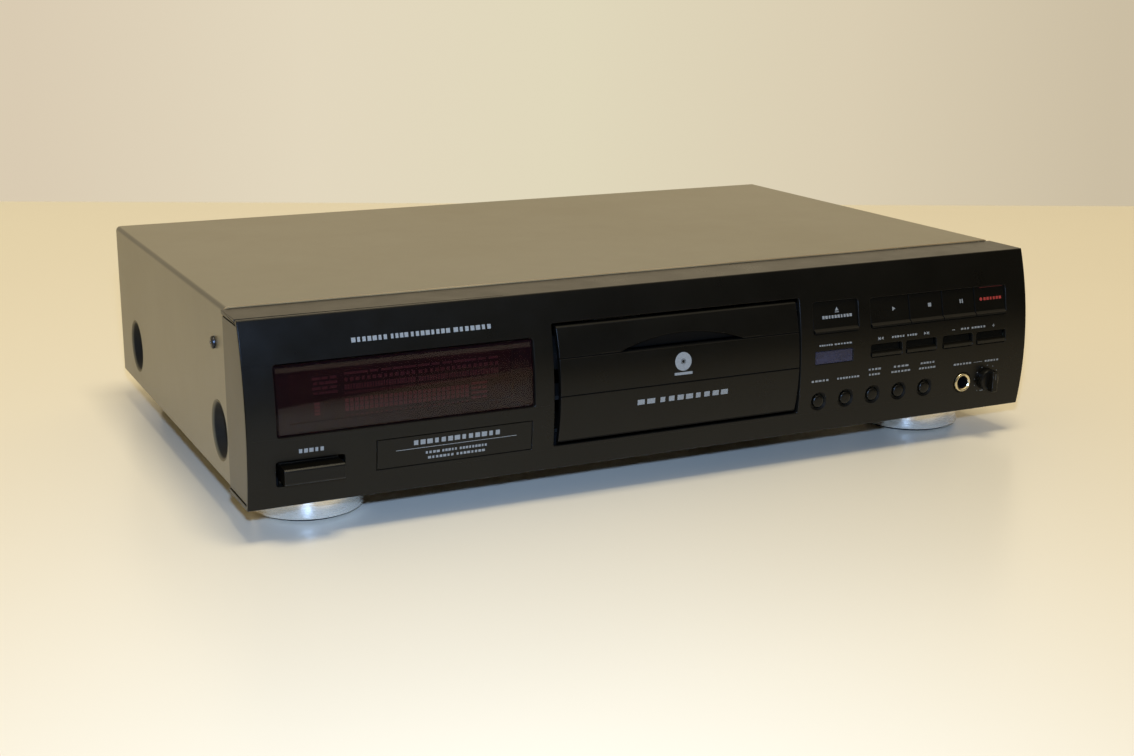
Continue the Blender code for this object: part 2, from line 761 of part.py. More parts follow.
def make_cover():
    """The folded steel cover with four pressed dishes and a screw hole each side."""
    cover = prism("top_cover", cover_outline(), "Y", cover_front, case_rear)
    for side, axis in ((-1, "X"), (1, "-X")):
        surface = side * cover_half
        for y in dish_ys:
            shell_depth = DISH_DEPTH + SHEET
            start = SHEET / 2
            shell_middle = (surface - side * (start + shell_depth) / 2, y, dish_z)
            shell = drum("dish_shell", shell_middle, DISH_RADIUS + SHEET, shell_depth - start, axis,
                         far_radius=DISH_FLOOR_RADIUS + SHEET)
            join(cover, shell)
            profile = [
                (0, OVERRUN), (DISH_RADIUS + DISH_RIM, OVERRUN), (DISH_RADIUS + DISH_RIM, 0),
                (DISH_RADIUS, -DISH_RIM), (DISH_FLOOR_RADIUS, -DISH_DEPTH), (0, -DISH_DEPTH),
            ]
            outward = "-X" if side < 0 else "X"
            cut(cover, turned("dish_hollow", profile, (surface, y, dish_z), outward))
        hole = drum("screw_hole", (surface, screw_y, screw_z), SCREW_SHANK_RADIUS + SEAT_GAP,
                    SHEET * 2 + OVERRUN, "X", SMALL_STEPS)
        cut(cover, hole)
    return colour(cover, CASE_BROWN, 0.45)


def make_side_screws():
    """A pan head screw on each side of the cover."""
    for side, outward, name in ((-1, "-X", "side_screw_left"), (1, "X", "side_screw_right")):
        profile = [
            (0, SCREW_HEAD_HEIGHT + SEAT_GAP),
            (SCREW_HEAD_RADIUS * SCREW_CROWN_SHARE, SCREW_HEAD_HEIGHT + SEAT_GAP),
            (SCREW_HEAD_RADIUS, SCREW_HEAD_HEIGHT * SCREW_EDGE_SHARE + SEAT_GAP),
            (SCREW_HEAD_RADIUS, SEAT_GAP),
            (SCREW_SHANK_RADIUS, SEAT_GAP),
            (SCREW_SHANK_RADIUS, -SCREW_LENGTH),
            (0, -SCREW_LENGTH),
        ]
        place = (side * cover_half, screw_y, screw_z)
        colour(turned(name, profile, place, outward, FINE_STEPS), RUBBER, 0.35, 0.6)


def bay_box(side, length):
    """Footprint of a board between the loader and the cover: (left, right, front, rear)."""
    outer = side * (inner_half - BAY_MARGIN)
    inner = tray_centre + side * (rail_outside + BAY_CLEARANCE)
    rear = case_rear - BAY_REAR
    return min(outer, inner), max(outer, inner), rear - length, rear


rail_inside = TRAY_WIDTH / 2 + SLIDE_GAP
rail_outside = rail_inside + LOADER_WALL
power_bay = bay_box(-1, POWER_BOARD_LENGTH)
main_bay = bay_box(1, MAIN_BOARD_LENGTH)
standoff_top = pan_top + STANDOFF_HEIGHT
front_foot_y = face_plane + FOOT_SETBACK
rear_foot_y = case_rear - REAR_FOOT_SETBACK


def make_pan():
    """The steel pan with its low flanges, the boards' standoffs and the vents."""
    front = panel_rear + SEAT_GAP
    rear = case_rear - PAN_SHEET - SEAT_GAP
    flange_top = pan_top + PAN_FLANGE
    pan = box("chassis_pan", (-inner_half, front, pan_bottom), (inner_half, rear, flange_top))
    inside = inner_half - PAN_SHEET
    hollow_low = (-inside, front + PAN_SHEET, pan_top)
    cut(pan, box("pan_hollow", hollow_low, (inside, rear + OVERRUN, flange_top + OVERRUN)))
    start = pan_top - PAN_SHEET / 2
    for bay in (power_bay, main_bay):
        left, right, near, far = bay
        for x in (left + STANDOFF_RADIUS * 2, right - STANDOFF_RADIUS * 2):
            for y in (near + STANDOFF_RADIUS * 2, far - STANDOFF_RADIUS * 2):
                centre = (x, y, (start + standoff_top) / 2)
                join(pan, drum("standoff", centre, STANDOFF_RADIUS, standoff_top - start, "Z", FINE_STEPS))
    for side in (-1, 1):
        for place in range(VENT_COUNT):
            x = side * (inner_half - VENT_MARGIN - VENT_PITCH * place)
            y = cover_front + VENT_SETBACK
            low = (x - VENT_WIDTH / 2, y - VENT_LENGTH / 2, pan_bottom - OVERRUN)
            high = (x + VENT_WIDTH / 2, y + VENT_LENGTH / 2, pan_top + OVERRUN)
            cut(pan, box("vent", low, high))
    return colour(pan, STEEL, 0.4, 0.8)


def make_feet():
    """Four turned feet with a rubber pad in each."""
    hub_top = pan_bottom - SEAT_GAP
    pocket_top = PAD_SHOW + FOOT_POCKET
    pocket_radius = PAD_RADIUS + SEAT_GAP
    foot_profile = [
        (0, hub_top), (FOOT_HUB_RADIUS, hub_top), (FOOT_HUB_RADIUS, FOOT_HEIGHT),
        (FOOT_RADIUS - FOOT_EDGE, FOOT_HEIGHT), (FOOT_RADIUS, FOOT_HEIGHT - FOOT_EDGE),
        (FOOT_RADIUS, PAD_SHOW + FOOT_EDGE / 2), (FOOT_RADIUS - FOOT_EDGE / 2, PAD_SHOW),
        (pocket_radius, PAD_SHOW), (pocket_radius, pocket_top), (0, pocket_top),
    ]
    pad_top = pocket_top - SEAT_GAP
    pad_profile = [
        (0, pad_top), (PAD_RADIUS, pad_top), (PAD_RADIUS, PAD_EDGE), (PAD_RADIUS - PAD_EDGE, 0), (0, 0),
    ]
    places = {
        "front_left": (-1, front_foot_y), "front_right": (1, front_foot_y),
        "rear_left": (-1, rear_foot_y), "rear_right": (1, rear_foot_y),
    }
    for corner, (side, y) in places.items():
        place = (side * (PANEL_WIDTH / 2 - FOOT_MARGIN), y, 0)
        silver = corner.startswith("front")
        foot = turned("foot_" + corner, foot_profile, place)
        colour(foot, SILVER if silver else RUBBER, 0.3, 1.0 if silver else 0.0)
        colour(turned("foot_pad_" + corner, pad_profile, place), RUBBER, 0.9)


# Display, plate and sensor

def window_solid(name, hole, gap, front_outline, lip_back):
    """A window that fills an opening, with a flange behind the panel's wall."""
    left, right, bottom, top = hole
    window = prism(name, front_outline, "X", left + gap, right - gap)
    rear = lip_back + FLANGE_THICK
    slab = curved_slab(FACE, bottom - FLANGE_LIP, top + FLANGE_LIP, lip_back, rear, FACE_STEPS // 4)
    return join(window, prism(name + "_flange", slab, "X", left - FLANGE_LIP, right + FLANGE_LIP))


def make_display():
    """The smoked window with its bevelled top, and the tube behind it."""
    left, right, bottom, top = display_hole
    low = bottom + LENS_GAP
    high = top - LENS_GAP
    waist = high - LENS_BEVEL
    lip_back = PANEL_WALL + SEAT_GAP
    front = [(arc_y(FACE, z) + LENS_SINK, z) for z in spread(waist, low, FACE_STEPS // 4)]
    bevel = (arc_y(FACE, waist) + LENS_SINK + LENS_BEVEL_DROP, high)
    back = lip_back + FLANGE_THICK / 2
    rear = [(arc_y(FACE, z) + back, z) for z in spread(low, high, FACE_STEPS // 4)]
    outline = [bevel] + front + rear
    colour(window_solid("display_window", display_hole, LENS_GAP, outline, lip_back), SMOKE, 0.05)
    tube_rear = board_front - SEAT_GAP
    tube_low = (left + TUBE_MARGIN, tube_rear - TUBE_DEPTH, bottom + TUBE_BORDER)
    tube_high = (right - TUBE_MARGIN, tube_rear, top - TUBE_BORDER)
    colour(box("vfd_display", tube_low, tube_high), SMOKE, 0.1)


def make_sensor():
    """The tinted window over the remote control's receiver."""
    left, right, bottom, top = sensor_hole
    lip_back = PANEL_WALL + SEAT_GAP
    low = bottom + SEAT_GAP
    high = top - SEAT_GAP
    slab = curved_slab(FACE, low, high, SENSOR_SINK, lip_back + FLANGE_THICK / 2, FACE_STEPS // 8)
    colour(window_solid("sensor_window", sensor_hole, SEAT_GAP, slab, lip_back), SENSOR_TINT, 0.15)


# Keys

def flange_plane(bottom, top):
    """Y of a key's flange, just behind the curved wall over the flange's whole height."""
    edges = (bottom - FLANGE_LIP, top + FLANGE_LIP)
    return max(arc_y(FACE, z) for z in edges) + PANEL_WALL + SEAT_GAP


def key_body(front, hole, gap, travel):
    """Outline of a key: its front points from top to bottom, its flange and its stem."""
    bottom = hole[2]
    top = hole[3]
    low = bottom + gap
    high = top - gap
    plane = flange_plane(bottom, top)
    rear = plane + FLANGE_THICK
    middle = (low + high) / 2
    stem_end = board_front - travel - SEAT_GAP
    back = [
        (plane, low), (plane, bottom - FLANGE_LIP), (rear, bottom - FLANGE_LIP),
        (rear, middle - STEM_HEIGHT / 2), (stem_end, middle - STEM_HEIGHT / 2),
        (stem_end, middle + STEM_HEIGHT / 2), (rear, middle + STEM_HEIGHT / 2),
        (rear, top + FLANGE_LIP), (plane, top + FLANGE_LIP), (plane, high),
    ]
    return front + back


def lipped_front(hole, top_sink, waist_sink, lip_height, lip_reach, lip_edge):
    """Front of a key that sinks at its top and turns out to a lip at its bottom."""
    high = hole[3] - SLIDE_GAP
    low = hole[2] + SLIDE_GAP
    waist = low + lip_height
    lip = low + lip_edge
    lip_y = arc_y(FACE, lip) - lip_reach
    return [
        (arc_y(FACE, high) + top_sink, high),
        (arc_y(FACE, waist) + waist_sink, waist),
        (lip_y, lip),
        (lip_y + lip_edge / 2, low),
    ]


def make_lipped_key(name, left, right, hole, shape):
    """One key of constant section between left and right."""
    outline = key_body(lipped_front(hole, *shape), hole, SLIDE_GAP, KEY_TRAVEL)
    colour(prism(name, outline, "X", left, right), KEY_BLACK, 0.3)


def make_keys():
    """Open key, four transport keys in one opening, and four small keys."""
    large = (KEY_TOP_SINK, KEY_WAIST_SINK, KEY_LIP_HEIGHT, KEY_LIP_REACH, KEY_LIP_EDGE)
    small = (SMALL_TOP_SINK, SMALL_WAIST_SINK, SMALL_LIP_HEIGHT, SMALL_LIP_REACH, SMALL_LIP_EDGE)
    make_lipped_key("open_close_key", open_hole[0] + SLIDE_GAP, open_hole[1] - SLIDE_GAP, open_hole, large)
    start, end = transport_hole[:2]
    shared = (TRANSPORT_WIDTH - PLAY_WIDTH - RECORD_WIDTH) / 2
    edges = [start, start + PLAY_WIDTH, start + PLAY_WIDTH + shared, end - RECORD_WIDTH, end]
    names = ["play_key", "stop_key", "pause_key", "record_key"]
    for name, left, right in zip(names, edges, edges[1:]):
        inner_left = SLIDE_GAP if left == start else SLIDE_GAP / 2
        inner_right = SLIDE_GAP if right == end else SLIDE_GAP / 2
        make_lipped_key(name, left + inner_left, right - inner_right, transport_hole, large)
    for name, hole in small_holes.items():
        make_lipped_key(name, hole[0] + SLIDE_GAP, hole[1] - SLIDE_GAP, hole, small)


def make_power_key():
    """The bar that stands out of its recess under the display."""
    left, right, bottom, top = power_hole
    low = bottom + POWER_END_GAP
    high = top - POWER_END_GAP
    front = arc_y(FACE, (low + high) / 2) - POWER_REACH
    nose = [
        (front + POWER_EDGE, high), (front, high - POWER_EDGE),
        (front, low + POWER_EDGE), (front + POWER_EDGE, low),
    ]
    outline = key_body(nose, power_hole, POWER_END_GAP, POWER_TRAVEL)
    colour(prism("power_key", outline, "X", left + POWER_SIDE_GAP, right - POWER_SIDE_GAP), KEY_BLACK, 0.3)


def make_round_keys():
    """Five small domed keys in one row."""
    row_face = arc_y(FACE, low_row)
    flange_edges = (low_row - ROUND_FLANGE, low_row + ROUND_FLANGE)
    plane = max(arc_y(FACE, z) for z in flange_edges) + PANEL_WALL + SEAT_GAP
    tip = row_face - ROUND_REACH
    stem_end = board_front - ROUND_TRAVEL - SEAT_GAP
    dome_steps = CORNER_STEPS
    dome = []
    for step in range(dome_steps + 1):
        angle = math.radians(90 * step / dome_steps)
        dome.append((ROUND_RADIUS * math.sin(angle), ROUND_DOME * math.cos(angle) - ROUND_DOME))
    profile = dome + [
        (ROUND_RADIUS, tip - plane), (ROUND_FLANGE, tip - plane),
        (ROUND_FLANGE, tip - plane - FLANGE_THICK), (ROUND_STEM, tip - plane - FLANGE_THICK),
        (ROUND_STEM, tip - stem_end), (0, tip - stem_end),
    ]
    for name, x in zip(round_names, round_xs):
        colour(turned(name, profile, (x, tip, low_row), "-Y", SMALL_STEPS), KEY_BLACK, 0.3)


def make_knob():
    """The level knob: a round base with a finger bar, and the shaft to its control."""
    row_face = arc_y(FACE, low_row)
    front = row_face - KNOB_REACH
    base_rear = row_face - KNOB_STANDOFF
    base_front = base_rear - KNOB_BASE
    shaft_end = board_front - POT_DEPTH - SEAT_GAP
    profile = [
        (0, 0), (KNOB_RADIUS - KNOB_EDGE, 0), (KNOB_RADIUS, -KNOB_EDGE),
        (KNOB_RADIUS, base_front - base_rear), (KNOB_SHAFT, base_front - base_rear),
        (KNOB_SHAFT, base_front - shaft_end), (0, base_front - shaft_end),
    ]
    knob = turned("level_knob", profile, (knob_x, base_front, low_row), "-Y")
    reach = math.sqrt((KNOB_RADIUS - KNOB_EDGE) ** 2 - (KNOB_BAR / 2) ** 2) - KNOB_EDGE
    outline = [
        (knob_x - KNOB_BAR / 2, low_row - reach), (knob_x + KNOB_BAR / 2, low_row - reach),
        (knob_x + KNOB_BAR / 2, low_row + reach), (knob_x - KNOB_BAR / 2, low_row + reach),
    ]
    join(knob, prism("knob_bar", outline, "Y", front, base_front + KNOB_BASE / 2))
    colour(knob, KEY_BLACK, 0.35)


def make_headphone_jack():
    """The headphone socket and the ring round its mouth."""
    row_face = arc_y(FACE, low_row)
    mouth = row_face - JACK_RING_REACH / 2
    seat = row_face + JACK_SEAT_DEPTH - SEAT_GAP
    body_front = arc_y(FACE, low_row - JACK_BODY / 2) + PANEL_WALL + SEAT_GAP
    body_rear = board_front - SEAT_GAP
    half = JACK_BODY / 2
    low = (jack_x - half, body_front, low_row - half)
    jack = box("headphone_jack", low, (jack_x + half, body_rear, low_row + half))
    barrel_end = body_front + PANEL_WALL
    barrel = drum("jack_barrel", (jack_x, (mouth + barrel_end) / 2, low_row), JACK_BARREL_RADIUS,
                  barrel_end - mouth, "Y", SMALL_STEPS)
    join(jack, barrel)
    bore_start = mouth - OVERRUN
    bore_end = mouth + JACK_BORE_DEPTH
    bore = drum("jack_bore", (jack_x, (bore_start + bore_end) / 2, low_row), JACK_BORE_RADIUS,
                bore_end - bore_start, "Y", SMALL_STEPS)
    colour(cut(jack, bore), KEY_BLACK, 0.4)
    ring_front = row_face - JACK_RING_REACH
    inner = JACK_BARREL_RADIUS + SEAT_GAP
    depth = seat - ring_front
    profile = [
        (inner, 0), (JACK_RING_RADIUS - JACK_RING_EDGE, 0), (JACK_RING_RADIUS, -JACK_RING_EDGE),
        (JACK_RING_RADIUS, -depth), (inner, -depth), (inner, 0),
    ]
    ring = turned("jack_ring", profile, (jack_x, ring_front, low_row), "-Y")
    colour(ring, GOLD, 0.25, 1.0)


def make_front_board():
    """The board behind the face, with a window for the tray and the level control."""
    half = PANEL_WIDTH / 2 - BOARD_MARGIN
    low = panel_bottom + PANEL_WALL + BOARD_EDGE
    high = panel_top - PANEL_WALL - BOARD_EDGE
    board = box("front_board", (-half, board_front, low), (half, board_rear, high))
    left, right, bottom, top = aperture
    cut(board, box("board_window", (left, board_front - OVERRUN, bottom), (right, board_rear + OVERRUN, top)))
    size = POT_SIZE / 2
    middle = board_front + BOARD_THICK / 2
    pot_low = (knob_x - size, board_front - POT_DEPTH, low_row - size)
    pot = box("level_control", pot_low, (knob_x + size, middle, low_row + size))
    colour(join(board, pot), BOARD_GREEN, 0.5)


# Tray and door

door_left = aperture[0] + DOOR_SIDE_GAP
door_right = aperture[1] - DOOR_SIDE_GAP
door_bottom = aperture[2] + DOOR_END_GAP
door_top = aperture[3] - DOOR_END_GAP
DOOR = bulged_arc((arc_y(FACE, door_top), door_top), (arc_y(FACE, door_bottom), door_bottom), DOOR_BULGE)
tray_bottom = panel_bottom + TRAY_RISE
tray_top = tray_bottom + TRAY_THICK
tray_front = face_plane
tray_rear = tray_front + TRAY_LENGTH
spindle_y = face_plane + SPINDLE_SETBACK
well_floor = tray_top - WELL_DEPTH
well_radius = DISC_RADIUS + WELL_CLEARANCE


def make_door():
    """The door on the tray's front: three bands, a finger notch and a mounting block."""
    slab = curved_slab(DOOR, door_bottom, door_top, 0, DOOR_WALL, DOOR_STEPS)
    door = prism("tray_front", slab, "X", door_left, door_right)
    upper = panel_bottom + UPPER_GROOVE_RISE
    lower = panel_bottom + LOWER_GROOVE_RISE
    back = tray_front - SEAT_GAP
    block_half = DOOR_BLOCK_WIDTH / 2
    block_front = arc_y(DOOR, tray_bottom) + DOOR_WALL / 2
    block_low = (tray_centre - block_half, block_front, tray_bottom)
    join(door, box("door_block", block_low, (tray_centre + block_half, back, tray_top)))
    notch_top = upper + NOTCH_HEIGHT
    cup_half = NOTCH_HALF + NOTCH_FRAME
    cup_front = arc_y(DOOR, notch_top) + DOOR_WALL / 2
    cup_back = arc_y(DOOR, upper) + NOTCH_DEPTH + NOTCH_FRAME
    cup_low = (tray_centre - cup_half, cup_front, upper - NOTCH_FRAME)
    join(door, box("notch_cup", cup_low, (tray_centre + cup_half, cup_back, notch_top + NOTCH_FRAME)))
    front = arc_y(DOOR, upper) - OVERRUN
    radius = (NOTCH_HALF ** 2 + NOTCH_HEIGHT ** 2) / (2 * NOTCH_HEIGHT)
    sweep = math.asin(NOTCH_HALF / radius)
    centre_z = notch_top - radius
    arch = []
    for angle in spread(sweep, -sweep, NOTCH_STEPS):
        arch.append((tray_centre + radius * math.sin(angle), centre_z + radius * math.cos(angle)))
    cut(door, prism("notch", arch, "Y", front, arc_y(DOOR, upper) + NOTCH_DEPTH))
    for groove in (upper, lower):
        floor = arc_y(DOOR, groove) + GROOVE_DEPTH
        low = (door_left - OVERRUN, front, groove - GROOVE_WIDTH / 2)
        cut(door, box("door_groove", low, (door_right + OVERRUN, floor, groove + GROOVE_WIDTH / 2)))
    colour(door, FACE_BLACK, 0.35)


pitch_radius = GEAR_MODULE * GEAR_TEETH / 2
tooth_pitch = math.pi * GEAR_MODULE
rack_line = tray_centre + RACK_OFFSET
gear_x = rack_line - pitch_radius
gear_y = face_plane + GEAR_SETBACK


def rack_outline():
    """Teeth that point to -X along the tray, with a gap between two teeth at the gear."""
    tip = rack_line - GEAR_MODULE * ADDENDUM_SHARE
    root = rack_line + GEAR_MODULE * DEDENDUM_SHARE
    tip_half = tooth_pitch * TOOTH_TIP_SHARE
    root_half = tooth_pitch * TOOTH_ROOT_SHARE
    ahead = math.floor((gear_y - tray_front - RACK_MARGIN) / tooth_pitch)
    first = gear_y + tooth_pitch / 2 - tooth_pitch * ahead
    count = math.floor((tray_rear - RACK_MARGIN - first) / tooth_pitch) + 1
    outline = [(root, first - tooth_pitch / 2)]
    for place in range(count):
        middle = first + tooth_pitch * place
        outline += [(root, middle - root_half), (tip, middle - tip_half)]
        outline += [(tip, middle + tip_half), (root, middle + root_half)]
    end = first + tooth_pitch * (count - 0.5)
    outline += [(root, end), (root + RACK_BACK, end), (root + RACK_BACK, first - tooth_pitch / 2)]
    return outline


def make_tray():
    """The disc tray with its wells, the slot for the turntable and the rack below."""
    half = TRAY_WIDTH / 2
    low = (tray_centre - half, tray_front, tray_bottom)
    tray = box("disc_tray", low, (tray_centre + half, tray_rear, tray_top))
    slot_half = SLOT_WIDTH / 2
    slot_low = (tray_centre - slot_half, spindle_y - SLOT_FRONT, tray_bottom - OVERRUN)
    slot_high = (tray_centre + slot_half, tray_rear + OVERRUN, tray_top + OVERRUN)
    arm_front = spindle_y + well_radius + TRAY_ARM_MARGIN
    arm_low = (tray_centre - half - OVERRUN, arm_front, tray_bottom + TRAY_ARM_THICK)
    arm_high = (tray_centre + half + OVERRUN, tray_rear + OVERRUN, tray_top + OVERRUN)
    wells = []
    for name, radius, floor in (
        ("disc_well", well_radius, well_floor),
        ("small_disc_well", SMALL_DISC_RADIUS, well_floor - SMALL_WELL_DEPTH),
    ):
        centre = (tray_centre, spindle_y, (floor + tray_top + OVERRUN) / 2)
        wells.append(drum(name, centre, radius, tray_top + OVERRUN - floor, "Z", WELL_STEPS))
    cut(tray, *wells, box("tray_slot", slot_low, slot_high), box("arm_step", arm_low, arm_high))
    rack_top = tray_bottom + TRAY_ARM_THICK / 2
    join(tray, prism("tray_rack", rack_outline(), "Z", tray_bottom - RACK_DROP, rack_top))
    colour(tray, MOULDING, 0.5)


# Tray drive

pulley_pitch = PULLEY_RADIUS + SEAT_GAP + BELT_THICK / 2
motor_pitch = MOTOR_PULLEY_RADIUS + SEAT_GAP + BELT_THICK / 2
motor_x = gear_x - BELT_SPAN
loader_floor = pan_top + LOADER_FLOOR_RISE
pulley_bottom = loader_floor + SEAT_GAP
pulley_height = PULLEY_WALL * 2 + BELT_HEIGHT + SEAT_GAP * 2
pulley_top = pulley_bottom + pulley_height


def grooved_profile(floor_radius, rim_radius):
    """Section of a pulley with a groove for the belt, from the top of its axis down."""
    upper = pulley_height - PULLEY_WALL
    return [
        (0, pulley_height), (rim_radius, pulley_height), (rim_radius, upper), (floor_radius, upper),
        (floor_radius, PULLEY_WALL), (rim_radius, PULLEY_WALL), (rim_radius, 0), (0, 0),
    ]


def gear_outline(centre_x, centre_y):
    """Outline of the gear, with one tooth pointing to +X."""
    tip = pitch_radius + GEAR_MODULE * ADDENDUM_SHARE
    root = pitch_radius - GEAR_MODULE * DEDENDUM_SHARE
    tip_turn = tooth_pitch * TOOTH_TIP_SHARE / tip
    root_turn = tooth_pitch * TOOTH_ROOT_SHARE / root
    outline = []
    for tooth in range(GEAR_TEETH):
        middle = 2 * math.pi * tooth / GEAR_TEETH
        for radius, turn in ((root, -root_turn), (tip, -tip_turn), (tip, tip_turn), (root, root_turn)):
            angle = middle + turn
            outline.append((centre_x + radius * math.cos(angle), centre_y + radius * math.sin(angle)))
    return outline


def make_drive():
    """Motor, its pulley, the belt, and the pulley with the gear that drives the rack."""
    gear_top = tray_bottom - GEAR_TOP_GAP
    bore = POST_RADIUS + SEAT_GAP
    rim = PULLEY_RADIUS + PULLEY_RIM
    drive = turned("drive_pulley", grooved_profile(PULLEY_RADIUS, rim), (gear_x, gear_y, pulley_bottom))
    hub_start = pulley_bottom + PULLEY_WALL / 2
    hub_middle = (gear_x, gear_y, (hub_start + gear_top) / 2)
    hub = drum("gear_hub", hub_middle, GEAR_HUB_RADIUS, gear_top - hub_start, "Z", SMALL_STEPS)
    teeth = prism("gear_teeth", gear_outline(gear_x, gear_y), "Z", gear_top - GEAR_HEIGHT, gear_top)
    join(drive, hub, teeth)
    through = drum("gear_bore", (gear_x, gear_y, (pulley_bottom + gear_top) / 2), bore,
                   gear_top - pulley_bottom + OVERRUN, "Z", SMALL_STEPS)
    colour(cut(drive, through), PALE_MOULDING, 0.5)
    motor_rim = MOTOR_PULLEY_RADIUS + PULLEY_RIM
    pulley = turned("motor_pulley", grooved_profile(MOTOR_PULLEY_RADIUS, motor_rim),
                    (motor_x, gear_y, pulley_bottom), "Z", SMALL_STEPS)
    pulley_middle = (motor_x, gear_y, (pulley_bottom + pulley_top) / 2)
    motor_through = drum("motor_bore", pulley_middle, MOTOR_SHAFT + SEAT_GAP,
                         pulley_height + OVERRUN, "Z", SMALL_STEPS)
    colour(cut(pulley, motor_through), PALE_MOULDING, 0.5)
    belt_bottom = pulley_bottom + PULLEY_WALL + SEAT_GAP
    belt_top = belt_bottom + BELT_HEIGHT
    outer = prism("drive_belt", belt_outline(BELT_THICK / 2), "Z", belt_bottom, belt_top)
    inside = belt_outline(-BELT_THICK / 2)
    inner = prism("belt_inside", inside, "Z", belt_bottom - OVERRUN, belt_top + OVERRUN)
    colour(cut(outer, inner), RUBBER, 0.8)
    can_top = loader_floor - LOADER_WALL - SEAT_GAP
    can_middle = (motor_x, gear_y, can_top - MOTOR_LENGTH / 2)
    motor = drum("loading_motor", can_middle, MOTOR_RADIUS, MOTOR_LENGTH)
    shaft_start = can_top - MOTOR_LENGTH / 2
    shaft_middle = (motor_x, gear_y, (shaft_start + pulley_top) / 2)
    join(motor, drum("motor_shaft", shaft_middle, MOTOR_SHAFT, pulley_top - shaft_start, "Z", SMALL_STEPS))
    colour(motor, STEEL, 0.35, 0.9)


def belt_outline(offset):
    """Loop round both pulleys at a distance from the belt's middle line."""
    big = pulley_pitch + offset
    little = motor_pitch + offset
    lean = math.asin((big - little) / BELT_SPAN)
    outline = []
    for angle in spread(-math.pi / 2 - lean, math.pi / 2 + lean, ROUND_STEPS // 2):
        outline.append((gear_x + big * math.cos(angle), gear_y + big * math.sin(angle)))
    for angle in spread(math.pi / 2 + lean, math.pi * 3 / 2 - lean, SMALL_STEPS // 2):
        outline.append((motor_x + little * math.cos(angle), gear_y + little * math.sin(angle)))
    return outline


# Loader frame and clamp

loader_front = face_plane + LOADER_SETBACK
loader_rear = loader_front + LOADER_LENGTH
lip_bottom = tray_top + SEAT_GAP
wall_top = lip_bottom + LIP_THICK + WALL_ABOVE_LIP
floor_bottom = loader_floor - LOADER_WALL


def rail_outline(side):
    """Section of one side of the loader: wall, ledge under the tray and lip above it."""
    ledge_top = tray_bottom - SEAT_GAP
    points = [
        (rail_outside, floor_bottom), (rail_outside, wall_top), (rail_inside, wall_top),
        (rail_inside, lip_bottom + LIP_THICK), (rail_inside - LIP_REACH, lip_bottom + LIP_THICK),
        (rail_inside - LIP_REACH, lip_bottom), (rail_inside, lip_bottom), (rail_inside, ledge_top),
        (rail_inside - LEDGE_REACH, ledge_top), (rail_inside - LEDGE_REACH, ledge_top - LEDGE_THICK),
        (rail_inside, ledge_top - LEDGE_THICK), (rail_inside, floor_bottom),
    ]
    return [(tray_centre + side * x, z) for x, z in points]


pivot_y = spindle_y + PIVOT_SETBACK
plate_top = tray_bottom - TRAVERSE_DROP
plate_bottom = plate_top - TRAVERSE_THICK
pivot_z = (plate_top + plate_bottom) / 2


def make_loader():
    """The moulded frame that the tray slides in, on four legs."""
    frame = prism("loader_frame", rail_outline(1), "Y", loader_front, loader_rear)
    join(frame, prism("left_rail", rail_outline(-1), "Y", loader_front, loader_rear))
    reach = rail_outside - LOADER_WALL / 2
    left = tray_centre - reach
    right = tray_centre + reach
    beams = (
        ("front_floor", loader_front, loader_front + LOADER_FLOOR_DEPTH),
        ("rear_floor", loader_rear - LOADER_BEAM_DEPTH, loader_rear),
    )
    for name, near, far in beams:
        join(frame, box(name, (left, near, floor_bottom), (right, far, loader_floor)))
    leg_bottom = pan_top + SEAT_GAP
    leg_top = floor_bottom + LOADER_WALL / 2
    for side in (-1, 1):
        edges = sorted((tray_centre + side * rail_outside, tray_centre + side * (rail_outside - LEG_WIDTH)))
        for near in (loader_front, loader_rear - LEG_DEPTH):
            join(frame, box("leg", (edges[0], near, leg_bottom), (edges[1], near + LEG_DEPTH, leg_top)))
        socket = (tray_centre + side * (rail_inside + LOADER_WALL / 2), pivot_y, pivot_z)
        bore = PIVOT_RADIUS + SEAT_GAP
        cut(frame, drum("pivot_socket", socket, bore, LOADER_WALL + OVERRUN, "X", SMALL_STEPS))
    post_top = tray_bottom - GEAR_TOP_GAP
    post_start = floor_bottom + LOADER_WALL / 2
    post_middle = (gear_x, gear_y, (post_start + post_top) / 2)
    join(frame, drum("gear_post", post_middle, POST_RADIUS, post_top - post_start, "Z", SMALL_STEPS))
    hole_middle = (motor_x, gear_y, loader_floor - LOADER_WALL / 2)
    cut(frame, drum("motor_hole", hole_middle, MOTOR_HOLE, LOADER_WALL + OVERRUN, "Z", SMALL_STEPS))
    colour(frame, MOULDING, 0.5)


def make_clamp():
    """The bridge over the tray and the puck that holds the disc down."""
    bottom = wall_top + SEAT_GAP
    top = bottom + BRIDGE_THICK
    low = (tray_centre - rail_outside, spindle_y - BRIDGE_DEPTH / 2, bottom)
    bridge = box("clamp_bridge", low, (tray_centre + rail_outside, spindle_y + BRIDGE_DEPTH / 2, top))
    middle = (tray_centre, spindle_y, (bottom + top) / 2)
    colour(cut(bridge, drum("bridge_hole", middle, BRIDGE_HOLE, BRIDGE_THICK + OVERRUN)), STEEL, 0.4, 0.8)
    puck_bottom = turntable_top + CENTRING_HEIGHT + PUCK_GAP
    cap_bottom = top + SEAT_GAP - puck_bottom
    profile = [
        (0, cap_bottom + PUCK_CAP_THICK), (PUCK_CAP, cap_bottom + PUCK_CAP_THICK), (PUCK_CAP, cap_bottom),
        (PUCK_NECK, cap_bottom), (PUCK_NECK, PUCK_THICK), (PUCK_RADIUS - PUCK_EDGE, PUCK_THICK),
        (PUCK_RADIUS, PUCK_THICK - PUCK_EDGE), (PUCK_RADIUS, 0), (0, 0),
    ]
    colour(turned("clamp_puck", profile, (tray_centre, spindle_y, puck_bottom)), PALE_MOULDING, 0.5)


# Traverse

